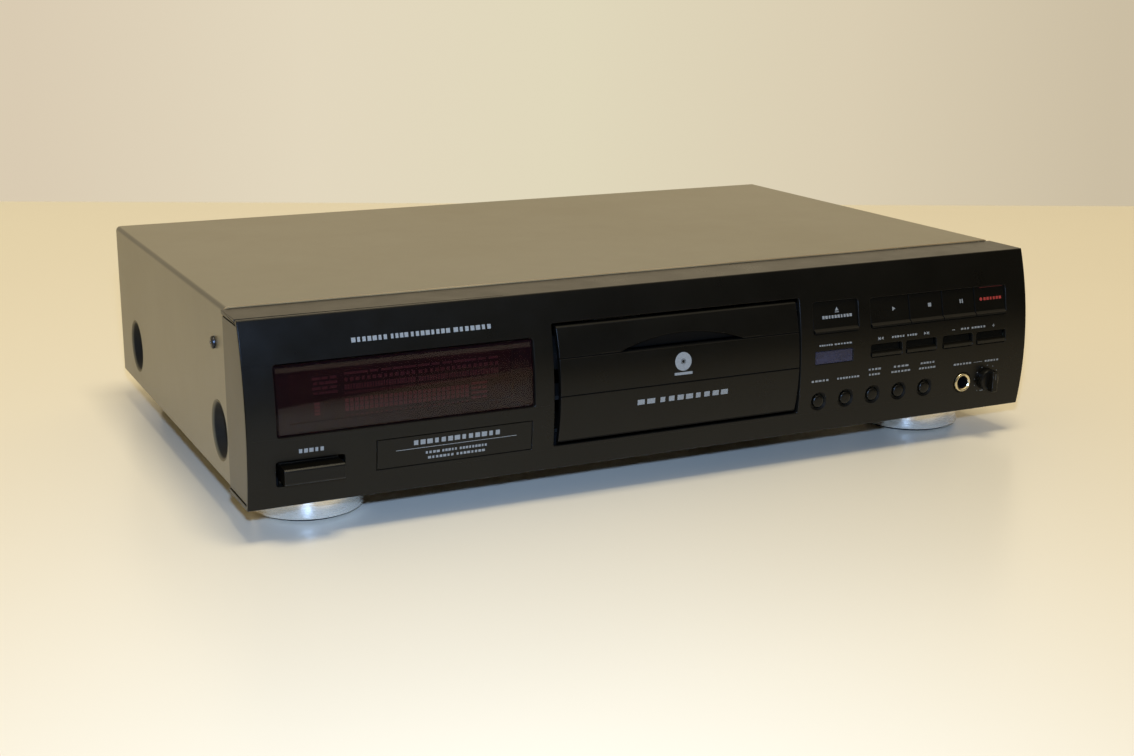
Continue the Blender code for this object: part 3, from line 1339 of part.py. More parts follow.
turntable_top = well_floor + DISC_LIFT
window_front = spindle_y + WINDOW_FRONT
window_rear = window_front + WINDOW_LENGTH


def make_traverse():
    """The plate that carries spindle and pickup, with its pivots at the rear."""
    half = TRAVERSE_WIDTH / 2
    low = (tray_centre - half, spindle_y - TRAVERSE_FRONT, plate_bottom)
    traverse = box("traverse", low, (tray_centre + half, pivot_y + TRAVERSE_REAR, plate_top))
    reach = rail_inside + PIVOT_DEPTH
    pins = drum("pivot_pins", (tray_centre, pivot_y, pivot_z), PIVOT_RADIUS, reach * 2, "X", SMALL_STEPS)
    case_top = plate_bottom + TRAVERSE_THICK / 2
    case_bottom = plate_bottom - SPINDLE_MOTOR_DEPTH
    middle = (tray_centre, spindle_y, (case_top + case_bottom) / 2)
    join(traverse, pins, drum("spindle_motor", middle, SPINDLE_MOTOR_RADIUS, case_top - case_bottom))
    window_low = (tray_centre - WINDOW_LEFT, window_front, plate_bottom - OVERRUN)
    window_high = (tray_centre + WINDOW_RIGHT, window_rear, plate_top + OVERRUN)
    cut(traverse, box("pickup_window", window_low, window_high))
    colour(traverse, STEEL, 0.4, 0.6)


def make_turntable():
    """The platter with its centring cone."""
    bottom = plate_top + SEAT_GAP
    platter = turntable_top - bottom
    profile = [
        (0, platter + CENTRING_HEIGHT), (CENTRING_RADIUS - CENTRING_TAPER, platter + CENTRING_HEIGHT),
        (CENTRING_RADIUS, platter + CENTRING_HEIGHT / 4), (CENTRING_RADIUS, platter),
        (TURNTABLE_RADIUS, platter), (TURNTABLE_RADIUS, platter - TURNTABLE_THICK),
        (TURNTABLE_HUB, platter - TURNTABLE_THICK),
        (TURNTABLE_HUB, 0), (0, 0),
    ]
    colour(turned("turntable", profile, (tray_centre, spindle_y, bottom)), PALE_MOULDING, 0.5)


def make_pickup():
    """The sled on its two rods, with the feed screw beside it."""
    span = WINDOW_LENGTH - SEAT_GAP * 2
    middle_y = (window_front + window_rear) / 2
    for name, side in (("guide_rod_left", -1), ("guide_rod_right", 1)):
        middle = (tray_centre + side * ROD_OFFSET, middle_y, pivot_z)
        rod = drum(name, middle, ROD_RADIUS, span, "Y", SMALL_STEPS)
        colour(rod, SILVER, 0.2, 1.0)
    threads = math.floor(span / FEED_PITCH)
    step = span / threads
    profile = [(0, span / 2)]
    for thread in range(threads):
        top = span / 2 - step * thread
        profile += [(FEED_ROOT, top), (FEED_RADIUS, top - step / 2)]
    profile += [(FEED_ROOT, -span / 2), (0, -span / 2)]
    screw_x = tray_centre + SCREW_OFFSET
    screw = turned("feed_screw", profile, (screw_x, middle_y, pivot_z), "Y", FINE_STEPS)
    colour(screw, SILVER, 0.2, 1.0)
    near = window_front + SLED_FRONT_GAP
    far = near + SLED_LENGTH
    bottom = pivot_z - SLED_BELOW
    top = pivot_z + SLED_ABOVE
    sled = box("pickup_sled", (tray_centre - SLED_HALF, near, bottom), (tray_centre + SLED_HALF, far, top))
    nut_middle = (near + far) / 2
    nut_low = (tray_centre + SLED_HALF - SLED_BELOW, nut_middle - SLED_NUT_LENGTH / 2, pivot_z - ROD_RADIUS)
    nut_high = (screw_x - FEED_RADIUS - SLED_NUT_GAP, nut_middle + SLED_NUT_LENGTH / 2, pivot_z + ROD_RADIUS)
    lens_top = turntable_top - LENS_TOP_GAP
    lens_start = top - SLED_ABOVE / 2
    lens_middle = (tray_centre, near + LENS_INSET, (lens_start + lens_top) / 2)
    lens = drum("lens", lens_middle, LENS_RADIUS, lens_top - lens_start, "Z", SMALL_STEPS)
    join(sled, box("sled_nut", nut_low, nut_high), lens)
    for side in (-1, 1):
        bore_middle = (tray_centre + side * ROD_OFFSET, nut_middle, pivot_z)
        bore = drum("rod_bore", bore_middle, ROD_RADIUS + SEAT_GAP, SLED_LENGTH + OVERRUN, "Y", SMALL_STEPS)
        cut(sled, bore)
    colour(sled, MOULDING, 0.4)


# Boards, transformer and rear panel

def make_boards():
    """The power board and the main board on their standoffs, with their large parts."""
    bottom = standoff_top + SEAT_GAP
    top = bottom + BOARD_THICK
    root = bottom + BOARD_THICK / 2
    left, right, near, far = power_bay
    power = box("power_board", (left, near, bottom), (right, far, top))
    mid_x = (left + right) / 2
    mid_y = (near + far) / 2
    can_middle = (mid_x, mid_y, (root + top + CAPACITOR_HEIGHT) / 2)
    can = drum("capacitor", can_middle, CAPACITOR_RADIUS, top + CAPACITOR_HEIGHT - root)
    sink_x = right - SINK_THICK * 2
    sink_low = (sink_x - SINK_THICK / 2, mid_y - SINK_LENGTH / 2, root)
    sink = box("heat_sink", sink_low, (sink_x + SINK_THICK / 2, mid_y + SINK_LENGTH / 2, top + SINK_HEIGHT))
    colour(join(power, can, sink), BOARD_GREEN, 0.5)
    left, right, near, far = main_bay
    main = box("main_board", (left, near, bottom), (right, far, top))
    mid_x = (left + right) / 2
    mid_y = (near + far) / 2
    half = CHIP_SIZE / 2
    chips = []
    for place in (-1, 1):
        y = mid_y + place * CHIP_SIZE
        chips.append(box("chip", (mid_x - half, y - half, root), (mid_x + half, y + half, top + CHIP_HEIGHT)))
    colour(join(main, *chips), BOARD_GREEN, 0.5)


def make_transformer():
    """The mains transformer on the pan: laminated core and coil."""
    bottom = pan_top + SEAT_GAP
    half_x = TRANSFORMER_WIDTH / 2
    x = power_bay[0] + TRANSFORMER_INSET + half_x
    y = cover_front + TRANSFORMER_SETBACK
    half_y = TRANSFORMER_LENGTH / 2
    core_high = (x + half_x, y + half_y, bottom + TRANSFORMER_HEIGHT)
    core = box("transformer", (x - half_x, y - half_y, bottom), core_high)
    coil_bottom = bottom + (TRANSFORMER_HEIGHT - COIL_HEIGHT) / 2
    reach = half_y + COIL_BULGE
    coil_half = half_x - COIL_BULGE
    coil_high = (x + coil_half, y + reach, coil_bottom + COIL_HEIGHT)
    coil = box("coil", (x - coil_half, y - reach, coil_bottom), coil_high)
    colour(join(core, coil), COPPER, 0.5)


analog_x = inner_half - ANALOG_MARGIN
digital_x = inner_half - DIGITAL_MARGIN
rca_z = panel_bottom + RCA_RISE
inlet_z = panel_bottom + INLET_RISE
plate_front = case_rear - PAN_SHEET
outlet_tip = case_rear + JACK_REACH


def rca_places():
    """Centres (x, z) of the four analogue sockets, two rows of two."""
    half = RCA_PITCH / 2
    return [(analog_x + x, rca_z + z) for x in (-half, half) for z in (-half, half)]


def barrel(name, x, z, start, end, radius):
    """A round piece along Y between two planes."""
    return drum(name, (x, (start + end) / 2, z), radius, end - start, "Y", FINE_STEPS)


def make_rear():
    """The rear panel, the analogue and digital sockets and the mains inlet."""
    plate = rounded(-inner_half, inner_half, pan_bottom, inner_top, COVER_BEND - SHEET)
    panel = prism("rear_panel", plate, "Y", plate_front, case_rear)
    block_rear = plate_front - SEAT_GAP
    block_front = block_rear - BLOCK_DEPTH
    root = block_rear - BLOCK_DEPTH / 2
    half = RCA_PITCH / 2 + BLOCK_BORDER
    analog = box("analog_jacks", (analog_x - half, block_front, rca_z - half),
                 (analog_x + half, block_rear, rca_z + half))
    hole_front = plate_front - OVERRUN
    hole_rear = case_rear + OVERRUN
    hole_radius = RCA_RADIUS + RCA_HOLE_GAP
    bore_floor = outlet_tip - RCA_BORE_DEPTH
    for x, z in rca_places():
        join(analog, barrel("rca_barrel", x, z, root, outlet_tip, RCA_RADIUS))
        cut(analog, barrel("rca_bore", x, z, bore_floor, outlet_tip + OVERRUN, RCA_BORE))
        cut(panel, barrel("rca_hole", x, z, hole_front, hole_rear, hole_radius))
    colour(analog, RUBBER, 0.4)
    low_z = rca_z - RCA_PITCH / 2
    high_z = rca_z + RCA_PITCH / 2
    digital = box("digital_jacks", (digital_x - half, block_front, rca_z - half),
                  (digital_x + half, block_rear, rca_z + half))
    square = OPTICAL_SIZE / 2
    for x in (digital_x - RCA_PITCH / 2, digital_x + RCA_PITCH / 2):
        join(digital, barrel("coax_barrel", x, low_z, root, outlet_tip, RCA_RADIUS))
        cut(digital, barrel("coax_bore", x, low_z, bore_floor, outlet_tip + OVERRUN, RCA_BORE))
        cut(panel, barrel("coax_hole", x, low_z, hole_front, hole_rear, hole_radius))
        tip = case_rear + OPTICAL_REACH
        join(digital, box("optical", (x - square, root, high_z - square), (x + square, tip, high_z + square)))
        wide = square + RCA_HOLE_GAP
        hole_low = (x - wide, hole_front, high_z - wide)
        cut(panel, box("optical_hole", hole_low, (x + wide, hole_rear, high_z + wide)))
    colour(digital, RUBBER, 0.4)
    make_inlet(panel)
    colour(panel, FACE_BLACK, 0.5)


def make_inlet(panel):
    """The two pin mains inlet: a bezel outside, a body inside and its socket."""
    x = INLET_MARGIN - inner_half
    half_x = INLET_WIDTH / 2
    half_z = INLET_HEIGHT / 2
    body = box("mains_inlet", (x - half_x, plate_front - INLET_DEPTH, inlet_z - half_z),
               (x + half_x, case_rear + INLET_REACH, inlet_z + half_z))
    wide_x = half_x + INLET_BEZEL
    wide_z = half_z + INLET_BEZEL
    bezel = box("inlet_bezel", (x - wide_x, case_rear + SEAT_GAP, inlet_z - wide_z),
                (x + wide_x, case_rear + INLET_REACH, inlet_z + wide_z))
    join(body, bezel)
    mouth = case_rear + INLET_REACH
    socket_floor = mouth - SOCKET_DEPTH
    socket = rounded(x - SOCKET_WIDTH / 2, x + SOCKET_WIDTH / 2, inlet_z - SOCKET_HEIGHT / 2,
                     inlet_z + SOCKET_HEIGHT / 2, SOCKET_HEIGHT * SOCKET_ROUND_SHARE)
    cut(body, prism("inlet_socket", socket, "Y", socket_floor, mouth + OVERRUN))
    for side in (-1, 1):
        pin_x = x + side * PIN_SPACING / 2
        pin_start = socket_floor - PIN_RADIUS
        join(body, barrel("inlet_pin", pin_x, inlet_z, pin_start, socket_floor + PIN_LENGTH, PIN_RADIUS))
    gap = SEAT_GAP
    cut(panel, box("inlet_hole", (x - half_x - gap, plate_front - OVERRUN, inlet_z - half_z - gap),
                   (x + half_x + gap, case_rear + OVERRUN, inlet_z + half_z + gap)))
    colour(body, RUBBER, 0.4)


make_front_panel()
make_end_caps()
make_info_plate()
make_cover()
make_side_screws()
make_pan()
make_feet()
make_display()
make_sensor()
make_keys()
make_power_key()
make_round_keys()
make_knob()
make_headphone_jack()
make_front_board()
make_door()
make_tray()
make_drive()
make_loader()
make_clamp()
make_traverse()
make_turntable()
make_pickup()
make_boards()
make_transformer()
make_rear()
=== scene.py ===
"""The finished look of a CD recorder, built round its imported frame."""
import json
import math

import bpy
from bpy.props import FloatProperty, FloatVectorProperty, IntProperty, PointerProperty
from mathutils import Matrix, Vector

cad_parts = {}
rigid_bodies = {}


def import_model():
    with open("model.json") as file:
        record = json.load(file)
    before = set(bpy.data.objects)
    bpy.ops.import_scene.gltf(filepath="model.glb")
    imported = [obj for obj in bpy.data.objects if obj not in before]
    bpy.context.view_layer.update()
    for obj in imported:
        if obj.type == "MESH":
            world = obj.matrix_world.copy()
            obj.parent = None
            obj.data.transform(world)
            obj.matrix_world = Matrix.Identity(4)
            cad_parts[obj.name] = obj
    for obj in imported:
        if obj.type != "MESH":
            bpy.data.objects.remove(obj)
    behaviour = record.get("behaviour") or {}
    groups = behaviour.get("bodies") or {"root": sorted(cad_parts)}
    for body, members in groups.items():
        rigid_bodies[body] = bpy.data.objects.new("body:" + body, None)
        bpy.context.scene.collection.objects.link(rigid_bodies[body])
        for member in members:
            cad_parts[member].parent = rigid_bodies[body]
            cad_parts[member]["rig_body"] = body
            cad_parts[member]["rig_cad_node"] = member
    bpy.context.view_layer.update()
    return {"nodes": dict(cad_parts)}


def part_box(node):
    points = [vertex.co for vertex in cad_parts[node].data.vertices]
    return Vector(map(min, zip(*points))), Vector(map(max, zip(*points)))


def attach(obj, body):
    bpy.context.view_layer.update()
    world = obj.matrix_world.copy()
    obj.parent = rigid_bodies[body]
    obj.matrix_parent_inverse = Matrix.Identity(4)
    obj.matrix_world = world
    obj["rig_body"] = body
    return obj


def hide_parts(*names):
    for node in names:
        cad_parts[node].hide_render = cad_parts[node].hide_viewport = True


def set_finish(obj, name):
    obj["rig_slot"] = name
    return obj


bl_info = {
    "name": "CD recorder dressing",
    "version": (1, 0, 0),
    "blender": (4, 5, 0),
    "location": "3D View > Sidebar > Recorder",
    "description": "Finishes the panel, case, tray, keys and sockets of a CD recorder",
    "category": "Object",
}

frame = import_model()
MM = 0.001

# Arcs of the front and of the door: centre's Y, centre's height and radius, in millimetres
FACE_ARC = (24.331, 50.23, 164.55)
DOOR_ARC = (-51.45, 53.87, 90.79)

# Places on the front in millimetres: left, right and height, and for a row of marks their size and count
RULE_LINE = (-148.2, -87.8, 36.5)
PLATE_ROWS = (
    (-139.5, -96.4, 39.3, 2.3, 13), (-133.7, -126.8, 33.8, 1.2, 4), (-125.4, -118.1, 33.8, 1.2, 5),
    (-116.7, -103.0, 33.8, 1.2, 9), (-132.3, -119.7, 31.2, 1.2, 7), (-118.3, -104.0, 31.2, 1.2, 8),
)
PANEL_ROWS = (
    (-166.5, -149.7, 89.6, 2.1, 7), (-148.0, -139.7, 89.6, 2.1, 4), (-138.4, -119.3, 89.6, 2.1, 8),
    (-117.2, -98.8, 89.6, 2.1, 7), (-194.0, -182.4, 42.4, 1.9, 5),
    (78.2, 88.6, 44.2, 1.0, 5), (94.0, 107.7, 44.2, 1.0, 8), (113.6, 121.2, 46.9, 1.0, 4),
    (114.0, 120.8, 44.1, 1.0, 4), (129.6, 139.0, 46.8, 1.0, 4), (128.4, 140.4, 44.0, 1.0, 6),
    (147.2, 156.2, 46.8, 1.0, 5), (146.4, 157.0, 44.0, 1.0, 6), (82.4, 90.4, 62.7, 0.8, 6),
    (91.8, 102.2, 62.7, 0.8, 6), (127.8, 135.8, 63.0, 1.0, 5), (137.6, 143.8, 63.0, 1.0, 4),
    (173.2, 178.4, 63.0, 1.0, 3), (180.2, 189.4, 63.0, 1.0, 5), (169.5, 181.0, 43.6, 1.0, 6),
    (190.4, 199.6, 43.6, 1.0, 5),
)
DOOR_ROWS = ((-24.0, -14.8, 45.6, 2.6, 2), (-11.8, 26.6, 45.6, 2.6, 8))
# Middle of the round mark on the door, in millimetres
DOOR_MARK = (1.1, 63.6)
# Levels of the door's two grooves, and the middle of its finger notch and the heights that it spans, in metres
DOOR_GROOVES = (0.0714, 0.0531)
NOTCH_X = 0.0016
NOTCH_SPAN = (0.0713, 0.0786)
# Where the walls of the panel's openings end, and where the tray's front rim does, along Y in metres
OPENINGS_END = -0.118
TRAY_RIM = -0.104
# Heights between which the pan's inner floor lies, in metres
PAN_FLOOR = (0.0165, 0.0195)
# Dots round the knob: the dial's middle and radius in millimetres, and their count
KNOB_DIAL = (192.7, 33.1, 7.9)
TICK_COUNT = 11
# Marks are drawn on this plane in front of the recorder, and lie this far off their surface
DRAWING_Y = -0.2
PRINT_LIFT = 0.00001

TRANSPORT_KEYS = ("open_close_key", "play_key", "stop_key", "pause_key", "record_key")
SMALL_KEYS = ("skip_back_key", "skip_forward_key", "level_down_key", "level_up_key")

# Sides of the case as name, axis and sign; X of the cover's face there, the level and Y of its dishes, and
# the gap before the end plates, in metres
SIDES = (("left", "-X", -1), ("right", "X", 1))
SIDE_FACE = 0.2165
DISH_LEVEL = 0.0411
DISH_PLACES = (("front", -0.08817), ("rear", 0.09733))
CAP_GAP = 0.0009
# X and height of the rear panel's screws, in metres
REAR_SCREWS = (
    (-0.205, 0.094), (0.0, 0.094), (0.205, 0.094), (-0.205, 0.024), (0.205, 0.024),
    (0.090, 0.0925), (0.150, 0.0925), (-0.198, 0.0442), (-0.158, 0.0442),
)

# Sections of turned pieces: radius and height in metres, ring by ring
DISH_RINGS = (
    (0.0102, -0.0049), (0.0107, -0.0044), (0.0121, -0.0023), (0.0131, -0.0009), (0.0136, -0.0003),
    (0.0141, -0.00003), (0.0145, 0.00005), (0.0147, -0.0002), (0.0144, -0.0006), (0.0138, -0.0009),
    (0.0112, -0.0048), (0.0104, -0.0053),
)
PAD_RINGS = ((0.0200, 0.0004), (0.0208, 0.0), (0.0235, 0.0), (0.0240, 0.0005), (0.0240, 0.0028))
KEY_RINGS = (
    (0.0014, -0.0190), (0.0014, -0.0035), (0.0047, -0.0035), (0.0047, -0.0024), (0.0033, -0.0024),
    (0.0033, -0.0009), (0.00315, -0.0005), (0.0028, -0.00022), (0.0020, -0.00005), (0.0010, 0.0),
)
SINK_RINGS = (
    (0.00385, -0.0016), (0.00385, -0.00095), (0.00475, -0.00012), (0.00490, -0.00006), (0.00500, -0.0004),
)
SCREW_RINGS = (
    (0.0028, 0.0001), (0.0028, 0.0008), (0.0025, 0.0014), (0.0019, 0.0017), (0.0007, 0.0017), (0.0005, 0.0009),
)
# Turns that lay a piece's own Z along an axis
AXES = {
    "Z": Matrix.Identity(4),
    "Y": Matrix.Rotation(-math.pi / 2, 4, "X"), "-Y": Matrix.Rotation(math.pi / 2, 4, "X"),
    "X": Matrix.Rotation(math.pi / 2, 4, "Y"), "-X": Matrix.Rotation(-math.pi / 2, 4, "Y"),
}

# Edges sharper than one angle are kept, faces flatter than the other are merged, and a point this near an
# arc is set on it
SHARP = math.radians(32)
FLAT = math.radians(0.3)
NEAR_ARC = 0.00008

BLACK = (0.0, 0.0, 0.0)
# Cells per metre of the paint's orange peel
PEEL = 1700.0
# Across the cover's fold, where a painted dark reflection lies, in distance from the middle plus height; and from a
# dish's rim to below it along X, where painted shade lies
FOLD_SHADE_SPAN = (0.3174, 0.3180)
DISH_SHADE_SPAN = (0.21652, 0.2154)
# Places of the colours among a mix node's sockets
MIX_FIRST, MIX_SECOND, MIX_RESULT = 6, 7, 2
# Shares of the table's colour near and far from the camera, painted shade near and painted light far, and the
# table's size in metres
TABLE_SHADE_AND_LIGHT = ((0.87, 0.845, 0.815), (1.12, 1.15, 1.25))
TABLE_WIDTH, TABLE_DEPTH = 14.0, 9.0


class RecorderFinish(bpy.types.PropertyGroup):
    """Colours and small sizes of the recorder's own pieces."""

    edge: FloatProperty(
        name="Edge", description="Rounding of the moulded edges", default=0.0003, unit="LENGTH")
    sheet_edge: FloatProperty(
        name="Sheet edge", description="Rounding of the sheet metal's edges", default=0.0003, unit="LENGTH")
    print_thickness: FloatProperty(
        name="Print", description="Thickness of the printed marks", default=0.00005, unit="LENGTH")
    panel_colour: FloatVectorProperty(
        name="Panel", description="Satin black of the front", size=3, subtype="COLOR",
        default=(0.0037, 0.0030, 0.0018))
    # The cover's dark satin paint lightened and browned: part of this colour is painted sheen of the pale wall
    cover_colour_with_sheen: FloatVectorProperty(
        name="Cover", description="Satin paint of the cover", size=3, subtype="COLOR",
        default=(0.148, 0.124, 0.076))
    print_colour: FloatVectorProperty(
        name="Print", description="Pale ink of the marks", size=3, subtype="COLOR",
        default=(0.42, 0.42, 0.39))
    record_colour: FloatVectorProperty(
        name="Record mark", description="Red ink of the record mark", size=3, subtype="COLOR",
        default=(0.33, 0.030, 0.022))
    glow_colour: FloatVectorProperty(
        name="Display cells", description="Unlit cells of the display", size=3, subtype="COLOR",
        default=(0.13, 0.0075, 0.016))
    # Silver tinted warm: the tint is painted reflection of the lit table
    foot_colour: FloatVectorProperty(
        name="Feet", description="Bare metal of the front feet", size=3, subtype="COLOR",
        default=(0.99, 0.93, 0.83))


class RecorderStage(bpy.types.PropertyGroup):
    """Camera, lamps and floor."""

    camera_place: FloatVectorProperty(
        name="Camera", description="Where the camera stands", size=3, subtype="TRANSLATION",
        default=(-0.39222, -0.82413, 0.25987))
    heading: FloatProperty(
        name="Heading", description="Turn of the camera from straight ahead", unit="ROTATION",
        default=0.450276)
    dip: FloatProperty(
        name="Dip", description="How far the camera looks down", unit="ROTATION", default=0.255185)
    roll: FloatProperty(
        name="Roll", description="Lean of the camera", unit="ROTATION", default=0.004171)
    lens: FloatProperty(name="Lens", description="Focal length in millimetres", default=52.356)
    table_reach: FloatProperty(
        name="Table", description="How far the table's back edge is from the camera", unit="LENGTH",
        default=1.72)
    table_front: FloatProperty(
        name="Table front", description="Where the table's front edge crosses the Y axis in reflections",
        unit="LENGTH", default=-0.723)
    table_skew: FloatProperty(
        name="Table skew", description="Slant of the table's front edge", default=1.46)
    table_side: FloatProperty(
        name="Table side", description="X where the table grows dim in reflections", unit="LENGTH", default=0.5)
    table_colour: FloatVectorProperty(
        name="Table colour", description="Pale table", size=3, subtype="COLOR",
        default=(0.86, 0.78, 0.62))
    wall_colour: FloatVectorProperty(
        name="Wall", description="Pale wall in reflections", size=3, subtype="COLOR",
        default=(0.72, 0.60, 0.40))
    ceiling_power: FloatProperty(
        name="Ceiling lamp", description="Power of the lamp overhead", unit="POWER", default=53.0)
    flash_power: FloatProperty(
        name="Flash", description="Power of the small cool lamp over the camera", unit="POWER", default=3.2)
    flash_rise: FloatProperty(
        name="Flash rise", description="Height of the cool lamp over the camera", unit="LENGTH",
        default=0.084)
    bar_count: IntProperty(
        name="Display bars", description="Bars of the level display", default=26, min=1)


# Selecting and shaping

def leave_edit():
    """Leave edit mode and let go of every piece."""
    if bpy.context.object and bpy.context.object.mode != "OBJECT":
        bpy.ops.object.mode_set(mode="OBJECT")
    bpy.ops.object.select_all(action="DESELECT")


def pick(*pieces):
    """Select only these pieces and make the last one active."""
    leave_edit()
    for piece in pieces:
        piece.select_set(True)
    bpy.context.view_layer.objects.active = pieces[-1]


def edit_all(piece):
    """Open a piece in edit mode with all of it selected."""
    pick(piece)
    bpy.ops.object.mode_set(mode="EDIT")
    bpy.ops.mesh.select_all(action="SELECT")


def edit_only(piece, kind, chosen):
    """Open a piece in edit mode with only its chosen points, edges or faces selected."""
    pick(piece)
    parts = {"VERT": piece.data.vertices, "EDGE": piece.data.edges, "FACE": piece.data.polygons}
    for group in parts.values():
        for part in group:
            part.select = False
    for part in parts[kind]:
        part.select = chosen(part)
    bpy.ops.object.mode_set(mode="EDIT")
    bpy.ops.mesh.select_mode(type=kind)


def face_outwards():
    """Turn all faces of the open piece outwards and close it."""
    bpy.ops.mesh.select_all(action="SELECT")
    bpy.ops.mesh.normals_make_consistent(inside=False)
    leave_edit()


def named(name):
    """Name the active piece and its mesh."""
    piece = bpy.context.object
    piece.name = name
    piece.data.name = name
    return piece


def settle(piece):
    """Move a piece's place, turn and scale into its mesh."""
    pick(piece)
    bpy.ops.object.transform_apply(location=True, rotation=True, scale=True)
    return piece


def apply_all(piece):
    """Apply every modifier of a piece in order."""
    pick(piece)
    for change in list(piece.modifiers):
        bpy.ops.object.modifier_apply(modifier=change.name)
    return piece


def shade(piece):
    """Smooth shading, apart from the sharp edges."""
    pick(piece)
    bpy.ops.object.shade_smooth_by_angle(angle=SHARP)
    return piece


def soften(piece, width, turns=2):
    """Round the sharp edges of a finished solid."""
    shade(piece)
    bevel = piece.modifiers.new("soft edge", "BEVEL")
    bevel.width = width
    bevel.segments = turns
    bevel.limit_method = "ANGLE"
    bevel.angle_limit = SHARP
    bevel.use_clamp_overlap = False
    even = piece.modifiers.new("even normals", "WEIGHTED_NORMAL")
    even.keep_sharp = True
    even.weight = 90
    return apply_all(piece)


def fused(*pieces):
    """Join pieces of one body into the last of them."""
    pick(*pieces)
    if len(pieces) > 1:
        bpy.ops.object.join()
    return bpy.context.object


def block(name, low, high, edge=0.0, turns=2):
    """A box between two corners, its edges rounded where a width is given."""
    leave_edit()
    bpy.ops.mesh.primitive_cube_add(size=1, location=(Vector(low) + Vector(high)) / 2)
    piece = named(name)
    piece.scale = Vector(high) - Vector(low)
    settle(piece)
    return soften(piece, edge, turns) if edge else piece


def carve(piece, tool):
    """Cut a solid away from a piece."""
    hollow = piece.modifiers.new("hollow", "BOOLEAN")
    hollow.operation = "DIFFERENCE"
    hollow.solver = "EXACT"
    hollow.object = tool
    apply_all(piece)
    pick(tool)
    bpy.ops.object.delete()


def bevel_edges(piece, chosen, width, turns=2):
    """Round only the edges whose two ends pass a test."""
    points = piece.data.vertices
    edit_only(piece, "EDGE", lambda edge: chosen(*(points[end].co for end in edge.vertices)))
    bpy.ops.mesh.bevel(offset=width, segments=turns, affect="EDGES")
    leave_edit()


def shift_points(piece, chosen, move):
    """Move the points that pass a test."""
    edit_only(piece, "VERT", lambda point: chosen(point.co))
    bpy.ops.transform.translate(value=move)
    leave_edit()


def arc_front(arc, z):
    """Y of an arc's front at a height, in metres."""
    centre, level, radius = arc
    return (centre - math.sqrt(radius ** 2 - (z / MM - level) ** 2)) * MM


def curve_rows(piece, arc, low, high, rows, sink=0.0):
    """Cut a piece into level rows and set its coarse front on the true arc."""
    edit_all(piece)
    for row in range(1, rows):
        level = low + (high - low) * row / rows
        bpy.ops.mesh.select_all(action="SELECT")
        bpy.ops.mesh.bisect(plane_co=(0, 0, level), plane_no=(0, 0, 1), threshold=0.00001)
    leave_edit()

    def off(point):
        return arc_front(arc, point.z) + sink - point.y

    heights = sorted({round(point.co.z, 6) for point in piece.data.vertices if abs(off(point.co)) < NEAR_ARC})
    for height in heights:
        def at_height(point):
            return abs(point.z - height) < 0.000001 and abs(off(point)) < NEAR_ARC

        moves = [off(point.co) for point in piece.data.vertices if at_height(point.co)]
        if moves and abs(max(moves, key=abs)) > 0.000002:
            shift_points(piece, at_height, (0, sum(moves) / len(moves), 0))


def turned(name, rings, place, along="Z", sides=48):
    """A turned solid: a filled disc drawn out ring by ring, each a (radius, height) pair."""
    leave_edit()
    radius, height = rings[0]
    bpy.ops.mesh.primitive_circle_add(vertices=sides, radius=radius, fill_type="NGON", location=(0, 0, height))
    piece = settle(named(name))
    edit_all(piece)
    for wide, level in rings[1:]:
        bpy.ops.mesh.extrude_region_move(TRANSFORM_OT_translate={"value": (0, 0, level - height)})
        share = wide / radius
        bpy.ops.transform.resize(value=(share, share, 1))
        radius, height = wide, level
    face_outwards()
    piece.matrix_world = Matrix.Translation(Vector(place)) @ AXES[along]
    return shade(settle(piece))


def turned_ring(name, rings, place, along="Z", sides=48):
    """A turned ring: its section runs round once and closes on itself."""
    piece = turned(name, [*rings, rings[0]], place, along, sides)
    edit_only(piece, "FACE", lambda face: len(face.vertices) > 4)
    bpy.ops.mesh.delete(type="FACE")
    bpy.ops.mesh.select_all(action="SELECT")
    bpy.ops.mesh.remove_doubles(threshold=0.000005)
    face_outwards()
    return shade(piece)


# Finishing pieces

def body_of(node):
    """The body that a frame part rides on."""
    return frame["nodes"][node]["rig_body"]


def front_of(node):
    """X, Y and Z of the middle of a frame part's front."""
    low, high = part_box(node)
    return (low.x + high.x) / 2, low.y, (low.z + high.z) / 2


def half_width(node):
    """Half the width of a frame part along X."""
    low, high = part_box(node)
    return (high.x - low.x) / 2


def dress(piece, body, finish, slot, *nodes):
    """Give a piece its finish and the body that it rides on, in place of any frame parts named."""
    piece.data.materials.clear()
    piece.data.materials.append(finishes[finish])
    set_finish(piece, slot)
    if nodes:
        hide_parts(*nodes)
    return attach(piece, body)


def finished(node, finish, slot, edge=None, turns=2, shape=None):
    """A finished copy of a frame part: joined up, its flat faces merged, its edges softened."""
    source = frame["nodes"][node]
    piece = source.copy()
    piece.data = source.data.copy()
    piece.parent = None
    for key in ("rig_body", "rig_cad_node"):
        del piece[key]
    bpy.context.scene.collection.objects.link(piece)
    piece.name = node + "_finish"
    pick(piece)
    bpy.ops.mesh.customdata_custom_splitnormals_clear()
    edit_all(piece)
    bpy.ops.mesh.remove_doubles(threshold=0.000002)
    bpy.ops.mesh.dissolve_limited(angle_limit=FLAT)
    leave_edit()
    if shape:
        shape(piece)
    if edge:
        soften(piece, edge, turns)
    else:
        shade(piece)
    return dress(piece, body_of(node), finish, slot, node)


def second_finish(piece, finish, chosen):
    """Give a second finish to the faces whose centre and normal pass a test."""
    piece.data.materials.append(finishes[finish])
    for face in piece.data.polygons:
        if chosen(face.center, face.normal):
            face.material_index = len(piece.data.materials) - 1


# Printed marks, drawn flat in front of a surface and laid on it. Their places are in millimetres

def stroke(left, right, bottom, top):
    """A flat bar."""
    leave_edit()
    place = ((left + right) / 2 * MM, DRAWING_Y, (bottom + top) / 2 * MM)
    bpy.ops.mesh.primitive_plane_add(size=1, location=place, rotation=(math.pi / 2, 0, 0))
    bar = bpy.context.object
    bar.scale = ((right - left) * MM, (top - bottom) * MM, 1)
    return settle(bar)


